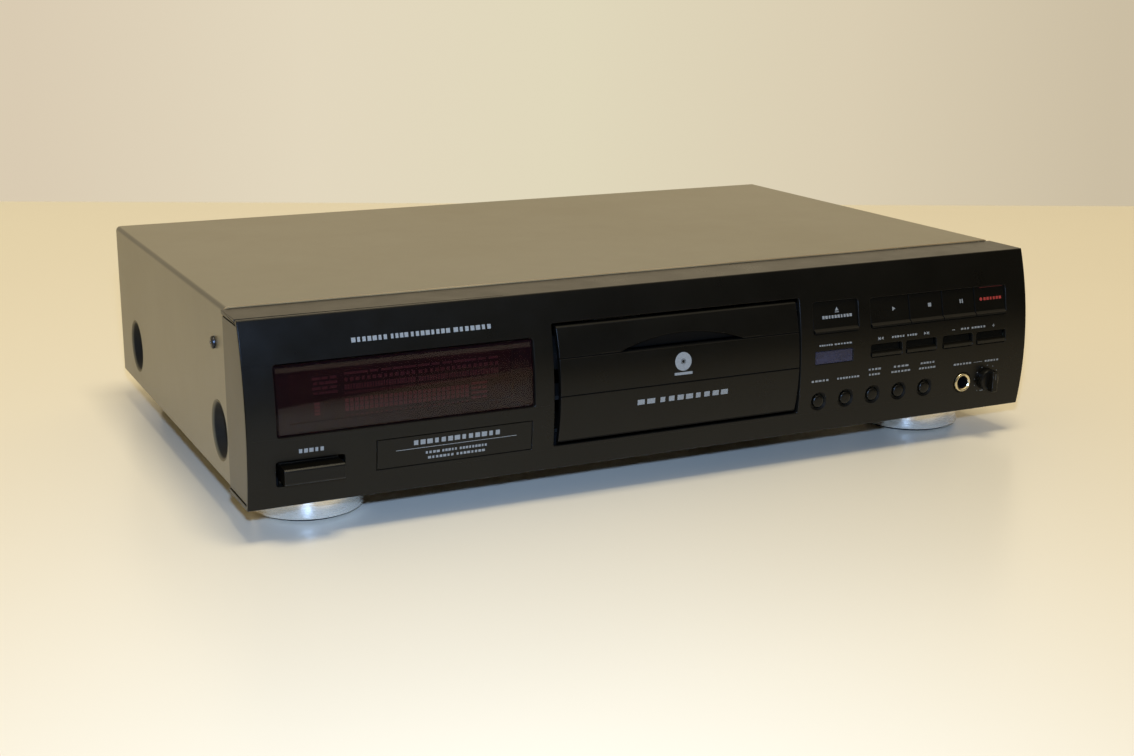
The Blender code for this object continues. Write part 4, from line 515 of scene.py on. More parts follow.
def spot(x, z, radius, sides=24, turn=0.0):
    """A flat disc, or a triangle with three sides."""
    leave_edit()
    bpy.ops.mesh.primitive_circle_add(
        vertices=sides, radius=radius * MM, fill_type="NGON", location=(x * MM, DRAWING_Y, z * MM),
        rotation=(math.pi / 2, turn, 0))
    return settle(bpy.context.object)


def ring(x, z, radius, width):
    """A flat ring."""
    disc = spot(x, z, radius, 40)
    edit_all(disc)
    bpy.ops.mesh.inset(thickness=width * MM, depth=0)
    bpy.ops.mesh.delete(type="FACE")
    leave_edit()
    return disc


def dashes(left, right, level, height, count, share=0.66):
    """A row of short upright dashes of unlike widths between two ends."""
    pitch = (right - left) / (count - 1 + share)
    row = []
    for place in range(count):
        width = pitch * share * (0.8 + 0.4 * ((place * 5 + count) % 4) / 3)
        x = left + pitch * (place + share / 2)
        row.append(stroke(x - width / 2, x + width / 2, level - height / 2, level + height / 2))
    return row


def laid(name, shapes, surface, finish):
    """Join flat shapes, lay them on a surface along Y, thicken them and let them ride with it."""
    look = bpy.context.scene.recorder_finish
    fused(*shapes)
    marks = named(name)
    wrap = marks.modifiers.new("lay on", "SHRINKWRAP")
    wrap.wrap_method = "PROJECT"
    wrap.target = surface
    wrap.use_project_x = False
    wrap.use_project_y = True
    wrap.use_project_z = False
    wrap.use_positive_direction = True
    wrap.use_negative_direction = True
    wrap.offset = 0.0
    edit_all(apply_all(marks))
    bpy.ops.transform.translate(value=(0, -PRINT_LIFT, 0))
    bpy.ops.mesh.extrude_region_move(
        TRANSFORM_OT_translate={"value": (0, -look.print_thickness, 0)})
    face_outwards()
    return dress(marks, surface["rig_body"], finish, surface["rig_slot"])


# Materials

def shader_of(name):
    """A new material with its shader and its object coordinates."""
    material = bpy.data.materials.new(name)
    material.use_nodes = True
    tree = material.node_tree
    return material, tree, tree.nodes["Principled BSDF"], added(tree, "TexCoord").outputs["Object"]


def joined(tree, node, sockets):
    """Set a node's sockets, or link them where the value is another node's."""
    for name, value in sockets.items():
        if isinstance(value, bpy.types.NodeSocket):
            tree.links.new(value, node.inputs[name])
        else:
            node.inputs[name].default_value = value
    return node


def added(tree, kind, sockets=None, **settings):
    """A new node with its settings and sockets."""
    node = tree.nodes.new("ShaderNode" + kind)
    for name, value in settings.items():
        setattr(node, name, value)
    return joined(tree, node, sockets or {})


def stretched(tree, place, scale):
    """Coordinates scaled unlike along the three axes."""
    return added(tree, "Mapping", {"Vector": place, "Scale": scale}).outputs["Vector"]


def noise(tree, place, scale, detail=3.0, rough=0.55):
    """Soft noise at a scale in cells per metre."""
    sockets = {"Vector": place, "Scale": scale, "Detail": detail, "Roughness": rough}
    return added(tree, "TexNoise", sockets).outputs["Fac"]


def banded(tree, value, low, high, start=0.0, end=1.0):
    """A value mapped from one span to another, held inside it."""
    sockets = {"Value": value, "From Min": low, "From Max": high, "To Min": start, "To Max": end}
    return added(tree, "MapRange", sockets).outputs["Result"]


def reckoned(tree, operation, *values):
    """A number worked out from others."""
    return added(tree, "Math", dict(enumerate(values)), operation=operation).outputs[0]


def along(tree, place, way):
    """How far a place or direction reaches along a way."""
    return added(tree, "VectorMath", {0: place, 1: way}, operation="DOT_PRODUCT").outputs["Value"]


def parts_of(tree, place):
    """The X, Y and Z of a place."""
    return added(tree, "SeparateXYZ", {"Vector": place}).outputs


def blended(tree, factor, first, second):
    """A colour between two, by a factor."""
    colours = [value if isinstance(value, bpy.types.NodeSocket) else (*value, 1.0) for value in (first, second)]
    node = added(tree, "Mix", {"Factor": factor}, data_type="RGBA")
    joined(tree, node, dict(zip((MIX_FIRST, MIX_SECOND), colours)))
    return node.outputs[MIX_RESULT]


def grained(tree, shader, height, depth, strength=1.0, under=None):
    """Fine relief from a height value, over another where one is given."""
    bump = added(tree, "Bump", {"Height": height, "Distance": depth, "Strength": strength})
    if under:
        tree.links.new(under, bump.inputs["Normal"])
    tree.links.new(bump.outputs["Normal"], shader.inputs["Normal"])
    return bump.outputs["Normal"]


def scaled(colour, share):
    """A colour made lighter or darker, and never more than full."""
    return tuple(min(1.0, part * share) for part in colour)


def moulded(name, colour, rough, grain=2600.0, depth=0.00002, spread=0.12, gloss=0.5):
    """Moulded plastic: fine grain, cloudy gloss and a trace of handling."""
    material, tree, shader, place = shader_of(name)
    cloud = banded(tree, noise(tree, place, 14.0), 0.35, 0.7)
    handled = noise(tree, place, 45.0, 5.0, 0.65)
    joined(tree, shader, {
        "Base Color": blended(tree, cloud, scaled(colour, 1 - spread), scaled(colour, 1 + spread * 2.5)),
        "Roughness": banded(tree, handled, 0.3, 0.75, rough * 0.88, rough * 1.16),
        "Specular IOR Level": gloss})
    grained(tree, shader, noise(tree, place, grain, 2.0), depth)
    return material


def satin_paint(name, colour, rough=0.34):
    """Satin paint on steel sheet: fine orange peel, smudges, wipe marks and a painted dark reflection along the
    fold.
    """
    material, tree, shader, place = shader_of(name)
    cloud = noise(tree, place, 7.0, 5.0, 0.6)
    wipe = noise(tree, stretched(tree, place, (0.35, 0.35, 0.12)), 260.0, 4.0, 0.7)
    spots = noise(tree, place, 38.0, 6.0, 0.7)
    clean = blended(tree, banded(tree, cloud, 0.35, 0.68), scaled(colour, 0.95), scaled(colour, 1.05))
    brushed = blended(tree, banded(tree, wipe, 0.35, 0.7, 0.0, 0.07), clean, BLACK)
    worn = blended(tree, banded(tree, spots, 0.66, 0.78, 0.0, 0.28), brushed, scaled(colour, 0.55))
    parts = parts_of(tree, place)
    # Painted dark reflection: the paint goes darker across the folded edge
    corner = reckoned(tree, "ADD", reckoned(tree, "ABSOLUTE", parts["X"]), parts["Z"])
    fold = banded(tree, corner, *FOLD_SHADE_SPAN, 0.0, 0.62)
    joined(tree, shader, {
        "Base Color": blended(tree, fold, worn, BLACK),
        "Roughness": banded(tree, cloud, 0.35, 0.75, rough * 0.9, rough * 1.12)})
    peel = grained(tree, shader, noise(tree, place, PEEL, 2.0), 0.00002)
    grained(tree, shader, wipe, 0.00001, 0.4, peel)
    return material


def shaded_dish_paint(name, colour):
    """Paint of the pressed dishes, dark below the rim: painted shade in the hollow."""
    material, tree, shader, place = shader_of(name)
    # Painted shade: the paint grows dark from the rim down into the hollow
    depth = banded(tree, reckoned(tree, "ABSOLUTE", parts_of(tree, place)["X"]), *DISH_SHADE_SPAN)
    uneven = banded(tree, noise(tree, place, 120.0), 0.3, 0.7)
    dark = blended(tree, uneven, (0.010, 0.009, 0.007), (0.016, 0.014, 0.011))
    joined(tree, shader, {
        "Base Color": blended(tree, depth, colour, dark), "Roughness": 0.5, "Specular IOR Level": 0.12})
    grained(tree, shader, noise(tree, place, PEEL, 2.0), 0.00002)
    return material


def bare_metal(name, colour, rough, grooves=(1.0, 1.0, 1.0), scale=900.0, depth=0.00001, metal=1.0):
    """Bare metal with fine tool marks along one way."""
    material, tree, shader, place = shader_of(name)
    marks = noise(tree, stretched(tree, place, grooves), scale, 3.0, 0.6)
    cloud = banded(tree, noise(tree, place, 30.0, 3.0), 0.3, 0.7)
    joined(tree, shader, {
        "Base Color": blended(tree, cloud, scaled(colour, 0.88), colour), "Metallic": metal,
        "Roughness": banded(tree, marks, 0.3, 0.7, rough * 0.85, rough * 1.2)})
    grained(tree, shader, marks, depth)
    return material


def ink(name, colour):
    """Screen printed ink, slightly uneven."""
    material, tree, shader, place = shader_of(name)
    worn = noise(tree, place, 2200.0, 3.0)
    tint = blended(tree, banded(tree, worn, 0.3, 0.65), scaled(colour, 0.7), colour)
    joined(tree, shader, {"Base Color": tint, "Roughness": 0.5})
    grained(tree, shader, worn, 0.00001)
    return material


def smoked_glass(name, colour, see_through, rough=0.03, density=1.9):
    """A smoked window: dark and clear, with faint wipe marks in its gloss."""
    material, tree, shader, place = shader_of(name)
    film = noise(tree, stretched(tree, place, (1.0, 1.0, 3.0)), 60.0, 4.0, 0.7)
    joined(tree, shader, {
        "Base Color": blended(tree, banded(tree, film, 0.4, 0.8), colour, scaled(colour, 1.8)),
        "Roughness": banded(tree, film, 0.35, 0.8, rough, rough * 2.5), "IOR": density, "Alpha": see_through})
    return material


def circuit_board(name):
    """Green solder resist with copper tracks under it."""
    material, tree, shader, place = shader_of(name)
    tracks = added(tree, "TexBrick", {
        "Vector": place, "Scale": 120.0, "Mortar Size": 0.012, "Color1": (0.012, 0.060, 0.022, 1),
        "Color2": (0.016, 0.075, 0.028, 1), "Mortar": (0.045, 0.14, 0.05, 1)})
    joined(tree, shader, {
        "Base Color": tracks.outputs["Color"],
        "Roughness": banded(tree, noise(tree, place, 90.0), 0.3, 0.7, 0.3, 0.5)})
    grained(tree, shader, tracks.outputs["Fac"], 0.00002, 0.6)
    return material


finishes = {}


class RECORDER_OT_finishes(bpy.types.Operator):
    """Make the plastics, paints, metals and inks of the recorder"""

    bl_idname = "recorder.finishes"
    bl_label = "Finishes"

    def execute(self, context):
        look = context.scene.recorder_finish
        panel, cover, foot = tuple(look.panel_colour), tuple(look.cover_colour_with_sheen), tuple(look.foot_colour)
        drawn = (1.0, 6.0, 6.0)
        finishes.update({
            "panel": moulded("satin black panel", panel, 0.3, 2600.0, 0.000005, gloss=0.24),
            "door": moulded("satin black door", panel, 0.3, 2600.0, 0.000005, gloss=0.22),
            # Darker, duller black on faces in notches, grooves, gaps and under lips: painted shade
            "recess": moulded("painted recess shade", (0.0022, 0.0020, 0.0016), 0.5, gloss=0.08),
            # Dull black on the walls inside the panel's openings and on the pan's inner floor: painted shade
            "opening": moulded("painted shade of openings and floor", (0.0060, 0.0050, 0.0032), 0.6, gloss=0.1),
            "cut edge": moulded("cut edge of the cover", (0.28, 0.18, 0.08), 0.75, gloss=0.1),
            # Matt black for the headphone socket, and in place of the front board's green and round the tube:
            # painted shade
            "shade": moulded("matt black shade", (0.0030, 0.0026, 0.0024), 0.6, gloss=0.15),
            "key": moulded("black keys", panel, 0.3, 3200.0, 0.000005, gloss=0.24),
            "cap": satin_paint("painted end plates", scaled(cover, 0.27), 0.4),
            "cover": satin_paint("satin cover paint", cover),
            "dish": shaded_dish_paint("dark dish paint", cover),
            "rear": satin_paint("black rear paint", (0.016, 0.016, 0.015), 0.45),
            "plated": bare_metal("plated steel", (0.46, 0.46, 0.44), 0.36, drawn, 300.0),
            # The pan's plated steel is made dark: painted shade under the case
            "pan": bare_metal("pan darkened as painted shade", (0.10, 0.095, 0.085), 0.42, drawn, 300.0),
            "foot": bare_metal("turned silver foot", foot, 0.26, (0.6, 0.6, 30.0), 160.0, 0.00002, 0.82),
            "rod": bare_metal("ground steel", (0.62, 0.62, 0.60), 0.2, (8.0, 0.5, 8.0), 600.0),
            "brass": bare_metal("gold plated ring", (0.80, 0.70, 0.46), 0.22),
            "iron": moulded("varnished core", (0.10, 0.075, 0.05), 0.4, 400.0, 0.0001),
            "rubber": moulded("foot rubber", (0.016, 0.016, 0.016), 0.8, 1800.0, 0.00005),
            "moulding": moulded("black loader moulding", (0.010, 0.009, 0.008), 0.45, 1800.0, 0.00004, gloss=0.3),
            "tray": moulded("black tray", (0.011, 0.010, 0.009), 0.42, 1800.0, 0.00004, gloss=0.35),
            "pale": moulded("natural acetal", (0.52, 0.51, 0.47), 0.38, 1500.0, spread=0.05),
            "socket": moulded("black socket moulding", (0.014, 0.014, 0.014), 0.35),
            "red socket": moulded("red socket insert", (0.30, 0.012, 0.010), 0.4),
            "white socket": moulded("white socket insert", (0.62, 0.60, 0.56), 0.4, spread=0.04),
            "orange socket": moulded("orange socket insert", (0.45, 0.14, 0.012), 0.4),
            "screw": bare_metal("black plated screw", (0.045, 0.045, 0.05), 0.32),
            "faint print": ink("faint print", scaled(look.print_colour, 0.55)),
            "worn print": ink("worn print", scaled(look.print_colour, 0.12)),
            "record": ink("red print", tuple(look.record_colour)),
            "faint record": ink("faint red print", scaled(look.record_colour, 0.3)),
            "cells": ink("display cells", tuple(look.glow_colour)),
            "bars": ink("display bars", scaled(look.glow_colour, 2.0)),
            "window": smoked_glass("smoked window", (0.0085, 0.0022, 0.0024), 0.45, density=1.52),
            "sensor": smoked_glass("sensor window", (0.019, 0.019, 0.033), 0.9, 0.16, 1.4),
            "tube": moulded("dark tube", (0.011, 0.0015, 0.0019), 0.3, depth=0.000002, spread=0.2, gloss=0.2),
            "board": circuit_board("circuit board"),
        })
        return {"FINISHED"}


class RECORDER_OT_panel(bpy.types.Operator):
    """Finish the curved front panel, its end plates and the plate under the display"""

    bl_idname = "recorder.panel"
    bl_label = "Front panel"

    def execute(self, context):
        edge = context.scene.recorder_finish.edge
        panel = finished("front_panel", "panel", "fascia", edge * 0.7, shape=self.face_plate)
        low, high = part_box("front_panel")

        def shaded_opening_wall(centre, normal):
            sunk = arc_front(FACE_ARC, centre.z) + 0.00006 < centre.y < OPENINGS_END
            inside = abs(centre.x) < high.x - 0.001 and low.z + 0.002 < centre.z < high.z - 0.003
            return sunk and inside and normal.y > -0.9

        # Walls inside the openings take the dull black of the openings: painted shade
        second_finish(panel, "opening", shaded_opening_wall)
        for node in ("end_cap_left", "end_cap_right"):
            finished(node, "cap", "fascia", edge * 0.7, shape=self.cap_gap)
        finished("info_plate", "panel", "fascia", edge * 0.4, shape=self.plate_front)
        return {"FINISHED"}

    def plate_front(self, plate):
        """Give the plate under the display the same curve as the panel."""
        low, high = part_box("info_plate")
        curve_rows(plate, FACE_ARC, low.z, high.z, 12)

    def face_plate(self, panel):
        """Set the face plate off with a joint along the top, and round its outer edges."""
        low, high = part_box("front_panel")
        joint = arc_front(FACE_ARC, high.z) + 0.0022
        wedge = block("joint", (low.x - 0.001, joint, high.z - 0.0014), (-0.09, joint + 0.0016, high.z + 0.001))
        shift_points(wedge, lambda point: point.x > -0.1 and point.y > joint + 0.001, (0, -0.0014, 0))
        carve(panel, wedge)
        curve_rows(panel, FACE_ARC, low.z, high.z, 60)

        def outer(first, second):
            on_face = all(abs(point.y - arc_front(FACE_ARC, point.z)) < 0.00006 for point in (first, second))
            at_rim = (min(first.z, second.z) > high.z - 0.00005 or max(first.z, second.z) < low.z + 0.00005
                      or min(abs(first.x), abs(second.x)) > high.x - 0.00005)
            return on_face and at_rim

        bevel_edges(panel, outer, 0.0004)

    def cap_gap(self, cap):
        """Hold the end plate back from the face plate and the top, so that a dark gap shows."""
        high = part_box(cap.name.replace("_finish", ""))[1]
        shift_points(cap, lambda point: point.y < arc_front(FACE_ARC, point.z) + 0.0035, (0, CAP_GAP, 0))
        shift_points(cap, lambda point: point.z > high.z - 0.0001, (0, 0, -CAP_GAP))


class RECORDER_OT_case(bpy.types.Operator):
    """Finish the folded cover, the pan, the rear panel and the side screws"""

    bl_idname = "recorder.case"
    bl_label = "Case"

    def execute(self, context):
        edge = context.scene.recorder_finish.sheet_edge
        cover = finished("top_cover", "cover", "cover_paint", edge)
        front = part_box("top_cover")[0].y
        second_finish(cover, "cut edge", lambda centre, normal: centre.y < front + 0.0005 and normal.y < -0.3)
        finished("rear_panel", "rear", "cover_paint", edge)
        pan = finished("chassis_pan", "pan", "plated_steel", edge)
        # The pan's plated inner floor takes the dull black of the openings: painted shade seen through the gaps
        low, high = PAN_FLOOR
        second_finish(pan, "opening", lambda centre, normal: normal.z > 0.5 and low < centre.z < high)
        for side, way, sign in SIDES:
            self.screw(side, way, sign)
        for side, way, sign in SIDES:
            for place, y in DISH_PLACES:
                dish = turned("dish_%s_%s" % (side, place), DISH_RINGS, (sign * SIDE_FACE, y, DISH_LEVEL), way, 64)
                dress(dish, "case", "dish", "cover_paint")
        return {"FINISHED"}

    def screw(self, side, way, sign):
        """A pan head with a shallow round recess."""
        low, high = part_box("side_screw_" + side)
        middle = (low + high) / 2
        head = (high.z - low.z) / 2
        face = sign * SIDE_FACE
        rise = abs((high.x if sign > 0 else low.x) - face)
        rings = [(head * 0.5, -0.001), (head * 0.5, 0.0003), (head, 0.0003), (head, 0.0009),
                 (head * 0.92, rise * 0.8), (head * 0.7, rise), (head * 0.25, rise), (head * 0.18, rise * 0.35)]
        screw = turned("side_screw_%s_head" % side, rings, (face, middle.y, middle.z), way, 32)
        dress(screw, "case", "screw", "screw_black", "side_screw_" + side)


class RECORDER_OT_feet(bpy.types.Operator):
    """Turn the four feet and their rubber pads"""

    bl_idname = "recorder.feet"
    bl_label = "Feet"

    def execute(self, context):
        for corner in ("front_left", "front_right", "rear_left", "rear_right"):
            low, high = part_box("foot_" + corner)
            middle = (low + high) / 2
            place = (middle.x, middle.y, 0)
            radius = half_width("foot_" + corner)
            rings = [(0.0244, 0.0024), (0.0244, 0.0016), (radius - 0.0008, 0.0016), (radius - 0.0002, 0.0019),
                     (radius, 0.0024), (radius, 0.0144), (radius - 0.0003, 0.0153), (radius - 0.0012, 0.0159),
                     (0.0100, 0.0159), (0.0100, 0.0167)]
            foot = turned("turned_foot_" + corner, rings, place, "Z", 96)
            finish, slot = ("foot", "foot_silver") if corner.startswith("front") else ("moulding", "black_plastic")
            dress(foot, "case", finish, slot, "foot_" + corner)
            pad = turned("rubber_pad_" + corner, PAD_RINGS, place, "Z", 72)
            dress(pad, "case", "rubber", "pad_rubber", "foot_pad_" + corner)
        return {"FINISHED"}


class RECORDER_OT_display(bpy.types.Operator):
    """Finish the smoked window and fill the tube behind it with its unlit cells"""

    bl_idname = "recorder.display"
    bl_label = "Display"

    def execute(self, context):
        edge = context.scene.recorder_finish.edge
        finished("display_window", "window", "smoked_window", edge, shape=self.window_front)
        tube = finished("vfd_display", "tube", "display_tube", edge)
        finished("sensor_window", "sensor", "sensor_tint", edge * 0.4)
        laid("display_cells", self.cells(), tube, "cells")
        laid("display_bars", self.bars(context.scene.recorder_stage.bar_count), tube, "bars")
        low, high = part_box("vfd_display")
        # A matt black sheet round the tube, behind the window: painted shade
        shade_sheet = block("display_surround", (low.x - 0.0086, low.y - 0.0040, low.z - 0.0043),
                         (high.x + 0.0091, low.y - 0.0030, high.z + 0.0043))
        carve(shade_sheet, block("tube_opening", (low.x + 0.0004, low.y - 0.006, low.z + 0.0004),
                              (high.x - 0.0004, low.y, high.z - 0.0004)))
        dress(shade_sheet, "case", "shade", "black_plastic")
        return {"FINISHED"}

    def window_front(self, window):
        """Give the window the curve of the panel below its bevelled top."""
        low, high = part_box("display_window")
        curve_rows(window, FACE_ARC, low.z, high.z - 0.0031, 30, 0.0004)

    def cells(self):
        """Small signs at the left and two groups of character rows."""
        shapes = []
        for row, (level, height) in enumerate(((72.2, 1.3), (69.9, 1.3), (67.6, 1.3), (65.3, 1.2))):
            shapes += dashes(-183.0, -171.6, level - height / 2, height, 3 + row % 2, 0.85)
        for left, right in ((-168.0, -133.8), (-132.0, -92.0)):
            count = round((right - left) / 2.6)
            shapes += dashes(left, right, 72.6, 1.1, count // 2, 0.85)
            shapes += dashes(left, right, 69.7, 1.7, count, 0.6)
            shapes += dashes(left, right, 66.2, 2.5, count * 2, 0.75)
            shapes += dashes(left, right, 63.4, 1.3, count * 3, 0.5)
        return shapes

    def bars(self, bars):
        """The level bars with their scale, and small signs at both ends."""
        shapes = []
        for row, level in enumerate((61.0, 58.7, 56.4, 54.1)):
            shapes += dashes(-105.6, -98.0, level, 1.2, 2 + row % 2, 0.85)
        pitch = (168.0 - 106.6) / bars
        for bar in range(bars):
            x = -168.0 + pitch * bar
            for part in range(3):
                shapes.append(stroke(x, x + pitch * 0.74, 54.8 + part * 2.1, 56.6 + part * 2.1))
            shapes.append(stroke(x + 0.5, x + 1.4, 52.5, 53.0))
        for part in range(4):
            shapes.append(stroke(-182.6, -179.8, 54.4 + part * 1.6, 55.6 + part * 1.6))
        return shapes


class RECORDER_OT_tray(bpy.types.Operator):
    """Finish the tray, its door and the drive under it"""

    bl_idname = "recorder.tray"
    bl_label = "Tray"

    def execute(self, context):
        edge = context.scene.recorder_finish.edge
        door = finished("tray_front", "door", "fascia", edge / 2, shape=self.door_front)
        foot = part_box("tray_front")[0].z

        # Faces in the notch and grooves, the sides and the underside of the foot take the recess finish: painted
        # shade
        def dark(centre, normal):
            depth = centre.y - arc_front(DOOR_ARC, centre.z)
            notch = (depth > 0.0012 and centre.y < -0.130 and abs(centre.x - NOTCH_X) < 0.0362
                     and NOTCH_SPAN[0] < centre.z < NOTCH_SPAN[1])
            groove = 0.0001 < depth < 0.0020 and min(abs(centre.z - level) for level in DOOR_GROOVES) < 0.0005
            return notch or groove or abs(normal.x) > 0.5 or (centre.z < foot + 0.0011 and normal.z < -0.25)

        second_finish(door, "recess", dark)
        tray = finished("disc_tray", "tray", "loader_plastic", edge)
        # The tray's front rim takes the recess finish: painted shade
        second_finish(tray, "recess", lambda centre, normal: centre.y < TRAY_RIM)
        for finish, slot, nodes in (
            ("pale", "pale_plastic", ("drive_pulley", "motor_pulley", "clamp_puck", "turntable")),
            ("rubber", "pad_rubber", ("drive_belt",)),
            ("moulding", "loader_plastic", ("loader_frame",)),
            ("plated", "plated_steel", ("clamp_bridge", "loading_motor")),
            ("moulding", "loader_plastic", ("traverse", "pickup_sled")),
            ("rod", "rod_steel", ("guide_rod_left", "guide_rod_right", "feed_screw")),
        ):
            for node in nodes:
                finished(node, finish, slot)
        return {"FINISHED"}

    def door_front(self, door):
        """Give the door its true curve and round its top, its foot and the lip under the notch."""
        low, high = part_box("tray_front")
        curve_rows(door, DOOR_ARC, low.z, high.z, 60)

        def at(level, reach=0.0001, half=1.0):
            def chosen(first, second):
                return all(abs(point.z - level) < reach and point.y < arc_front(DOOR_ARC, level) + 0.00012
                           and abs(point.x - NOTCH_X) < half for point in (first, second))
            return chosen

        bevel_edges(door, at(high.z), 0.0012, 5)
        bevel_edges(door, at(low.z), 0.0010, 4)
        bevel_edges(door, at(0.0711, 0.00015, 0.0358), 0.0008, 4)


class RECORDER_OT_boards(bpy.types.Operator):
    """Finish the boards and the transformer inside the case"""

    bl_idname = "recorder.boards"
    bl_label = "Boards"

    def execute(self, context):
        finished("main_board", "board", "circuit_board")
        finished("power_board", "board", "circuit_board")
        # The front board is matt black in place of its green solder resist: painted shade behind the panel
        finished("front_board", "shade", "black_plastic")
        finished("transformer", "iron", "transformer_iron")
        return {"FINISHED"}


class RECORDER_OT_keys(bpy.types.Operator):
    """Finish the power key, the transport keys and the small keys, with their signs"""

    bl_idname = "recorder.keys"
    bl_label = "Keys"

    def execute(self, context):
        edge = context.scene.recorder_finish.edge
        power = finished("power_key", "key", "key_plastic", edge, 3, self.power_band)
        low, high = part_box("power_key")
        # The band under the top edge takes the recess finish: painted shade
        second_finish(power, "recess", lambda centre, normal: low.y + 0.0003 < centre.y < low.y + 0.0012
                      and high.z - 0.0033 < centre.z < high.z - 0.0010)
        keys = {}
        for nodes, shape in ((TRANSPORT_KEYS, self.short_lip), (SMALL_KEYS, self.high_lip)):
            for node in nodes:
                keys[node] = finished(node, "key", "key_plastic", edge / 2, shape=shape)
                # Sides and undersides of the keys take the recess finish: painted shade
                second_finish(keys[node], "recess", lambda centre, normal: abs(normal.x) > 0.3 or normal.z < -0.15)
        signs = (
            ("open_close_key_sign", "faint print",
             [spot(94.3, 80.3, 1.2, 3), stroke(93.1, 95.5, 78.8, 79.2), *dashes(85.2, 103.2, 76.8, 1.5, 10)]),
            ("play_key_sign", "faint print", [spot(129.7, 77.6, 1.3, 3, math.pi / 2)]),
            ("stop_key_sign", "faint print", [stroke(152.2, 154.2, 76.6, 78.6)]),
            ("pause_key_sign", "faint print", [stroke(173.1, 173.9, 76.7, 78.7), stroke(174.5, 175.3, 76.7, 78.7)]),
            ("record_key_sign", "record", [spot(187.4, 77.6, 0.9), *dashes(189.2, 201.0, 77.6, 1.5, 6)]),
            ("record_key_line", "faint record", [stroke(187.0, 202.4, 83.5, 83.8)]),
        )
        for name, finish, shapes in signs:
            laid(name, shapes, keys[name.rsplit("_", 1)[0]], finish)
        return {"FINISHED"}

    def power_band(self, key):
        """Cut the shallow band across the front of the power key, under its top edge."""
        low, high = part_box("power_key")
        carve(key, block("band", (low.x - 0.001, low.y - 0.001, high.z - 0.0032),
                         (high.x + 0.001, low.y + 0.0009, high.z - 0.0011)))

    def raise_lip(self, key, reach, rise):
        """Raise the points at a key's lip, and tell how far forward it is."""
        lip = min((point.co for point in key.data.vertices), key=lambda place: place.y).copy()
        shift_points(key, lambda point: abs(point.z - lip.z) < 0.0002 and point.y < lip.y + reach, (0, 0, rise))
        return lip.y

    def short_lip(self, key):
        """Draw a key's lip in and raise its edge, so that it shows as a narrow bar."""
        front = self.raise_lip(key, 0.0002, 0.0003)
        shift_points(key, lambda point: point.y < front + 0.0006, (0, 0.0006, 0))

    def high_lip(self, key):
        """Raise a small key's lip, so that a flat front stands under it."""
        self.raise_lip(key, 0.0003, 0.0013)


class RECORDER_OT_round_keys(bpy.types.Operator):
    """Turn the five round keys and the countersunk rings round them"""

    bl_idname = "recorder.round_keys"
    bl_label = "Round keys"

    def execute(self, context):
        for node in ("erase_key", "finalize_key", "sync_key", "auto_key", "input_key"):
            x, tip, z = front_of(node)
            key = turned(node + "_cap", KEY_RINGS, (x, tip, z), "-Y", 40)
            dress(key, body_of(node), "key", "key_plastic", node)
            # The countersunk rings take the recess finish: painted shade round the keys
            sink = turned_ring(node.replace("key", "ring"), SINK_RINGS, (x, tip + 0.0003, z), "-Y", 48)
            dress(sink, "case", "recess", "fascia")
        return {"FINISHED"}


class RECORDER_OT_knob_and_jack(bpy.types.Operator):
    """Turn the level knob with its finger bar, and the headphone socket's ring"""

    bl_idname = "recorder.knob_and_jack"
    bl_label = "Knob and headphone socket"

    def execute(self, context):
        x, tip, z = front_of("level_knob")
        radius = half_width("level_knob")
        base = [(0.0027, -0.0222), (0.0027, -0.0100), (radius - 0.0004, -0.0080), (radius, -0.0076),
                (radius, -0.0050), (radius - 0.0003, -0.0044), (radius - 0.0010, -0.0040),
                (radius - 0.0018, -0.0039)]
        knob = turned("knob_base", base, (x, tip, z), "-Y", 64)
        half = 0.0018
        bar = block("knob_bar", (x - half, tip + 0.00008, z - radius + 0.0003),
                    (x + half, tip + 0.0045, z + radius - 0.0003), 0.0007, 4)
        knob = dress(fused(bar, knob), "knob", "key", "key_plastic", "level_knob")
        line = stroke(x / MM - 0.25, x / MM + 0.25, z / MM + 1.2, z / MM + 4.6)
        laid("knob_line", [line], knob, "worn print")
        outer = half_width("jack_ring")
        rings = [(0.0032, -0.0016), (outer, -0.0016), (outer, -0.0007), (outer - 0.0003, -0.0002),
                 (outer - 0.0007, 0.0), (outer - 0.0012, -0.0001), (0.0033, -0.0008)]
        jack = turned_ring("socket_ring", rings, front_of("jack_ring"), "-Y", 64)
        dress(jack, "case", "brass", "jack_metal", "jack_ring")
        finished("headphone_jack", "shade", "black_plastic", 0.0001)
        return {"FINISHED"}


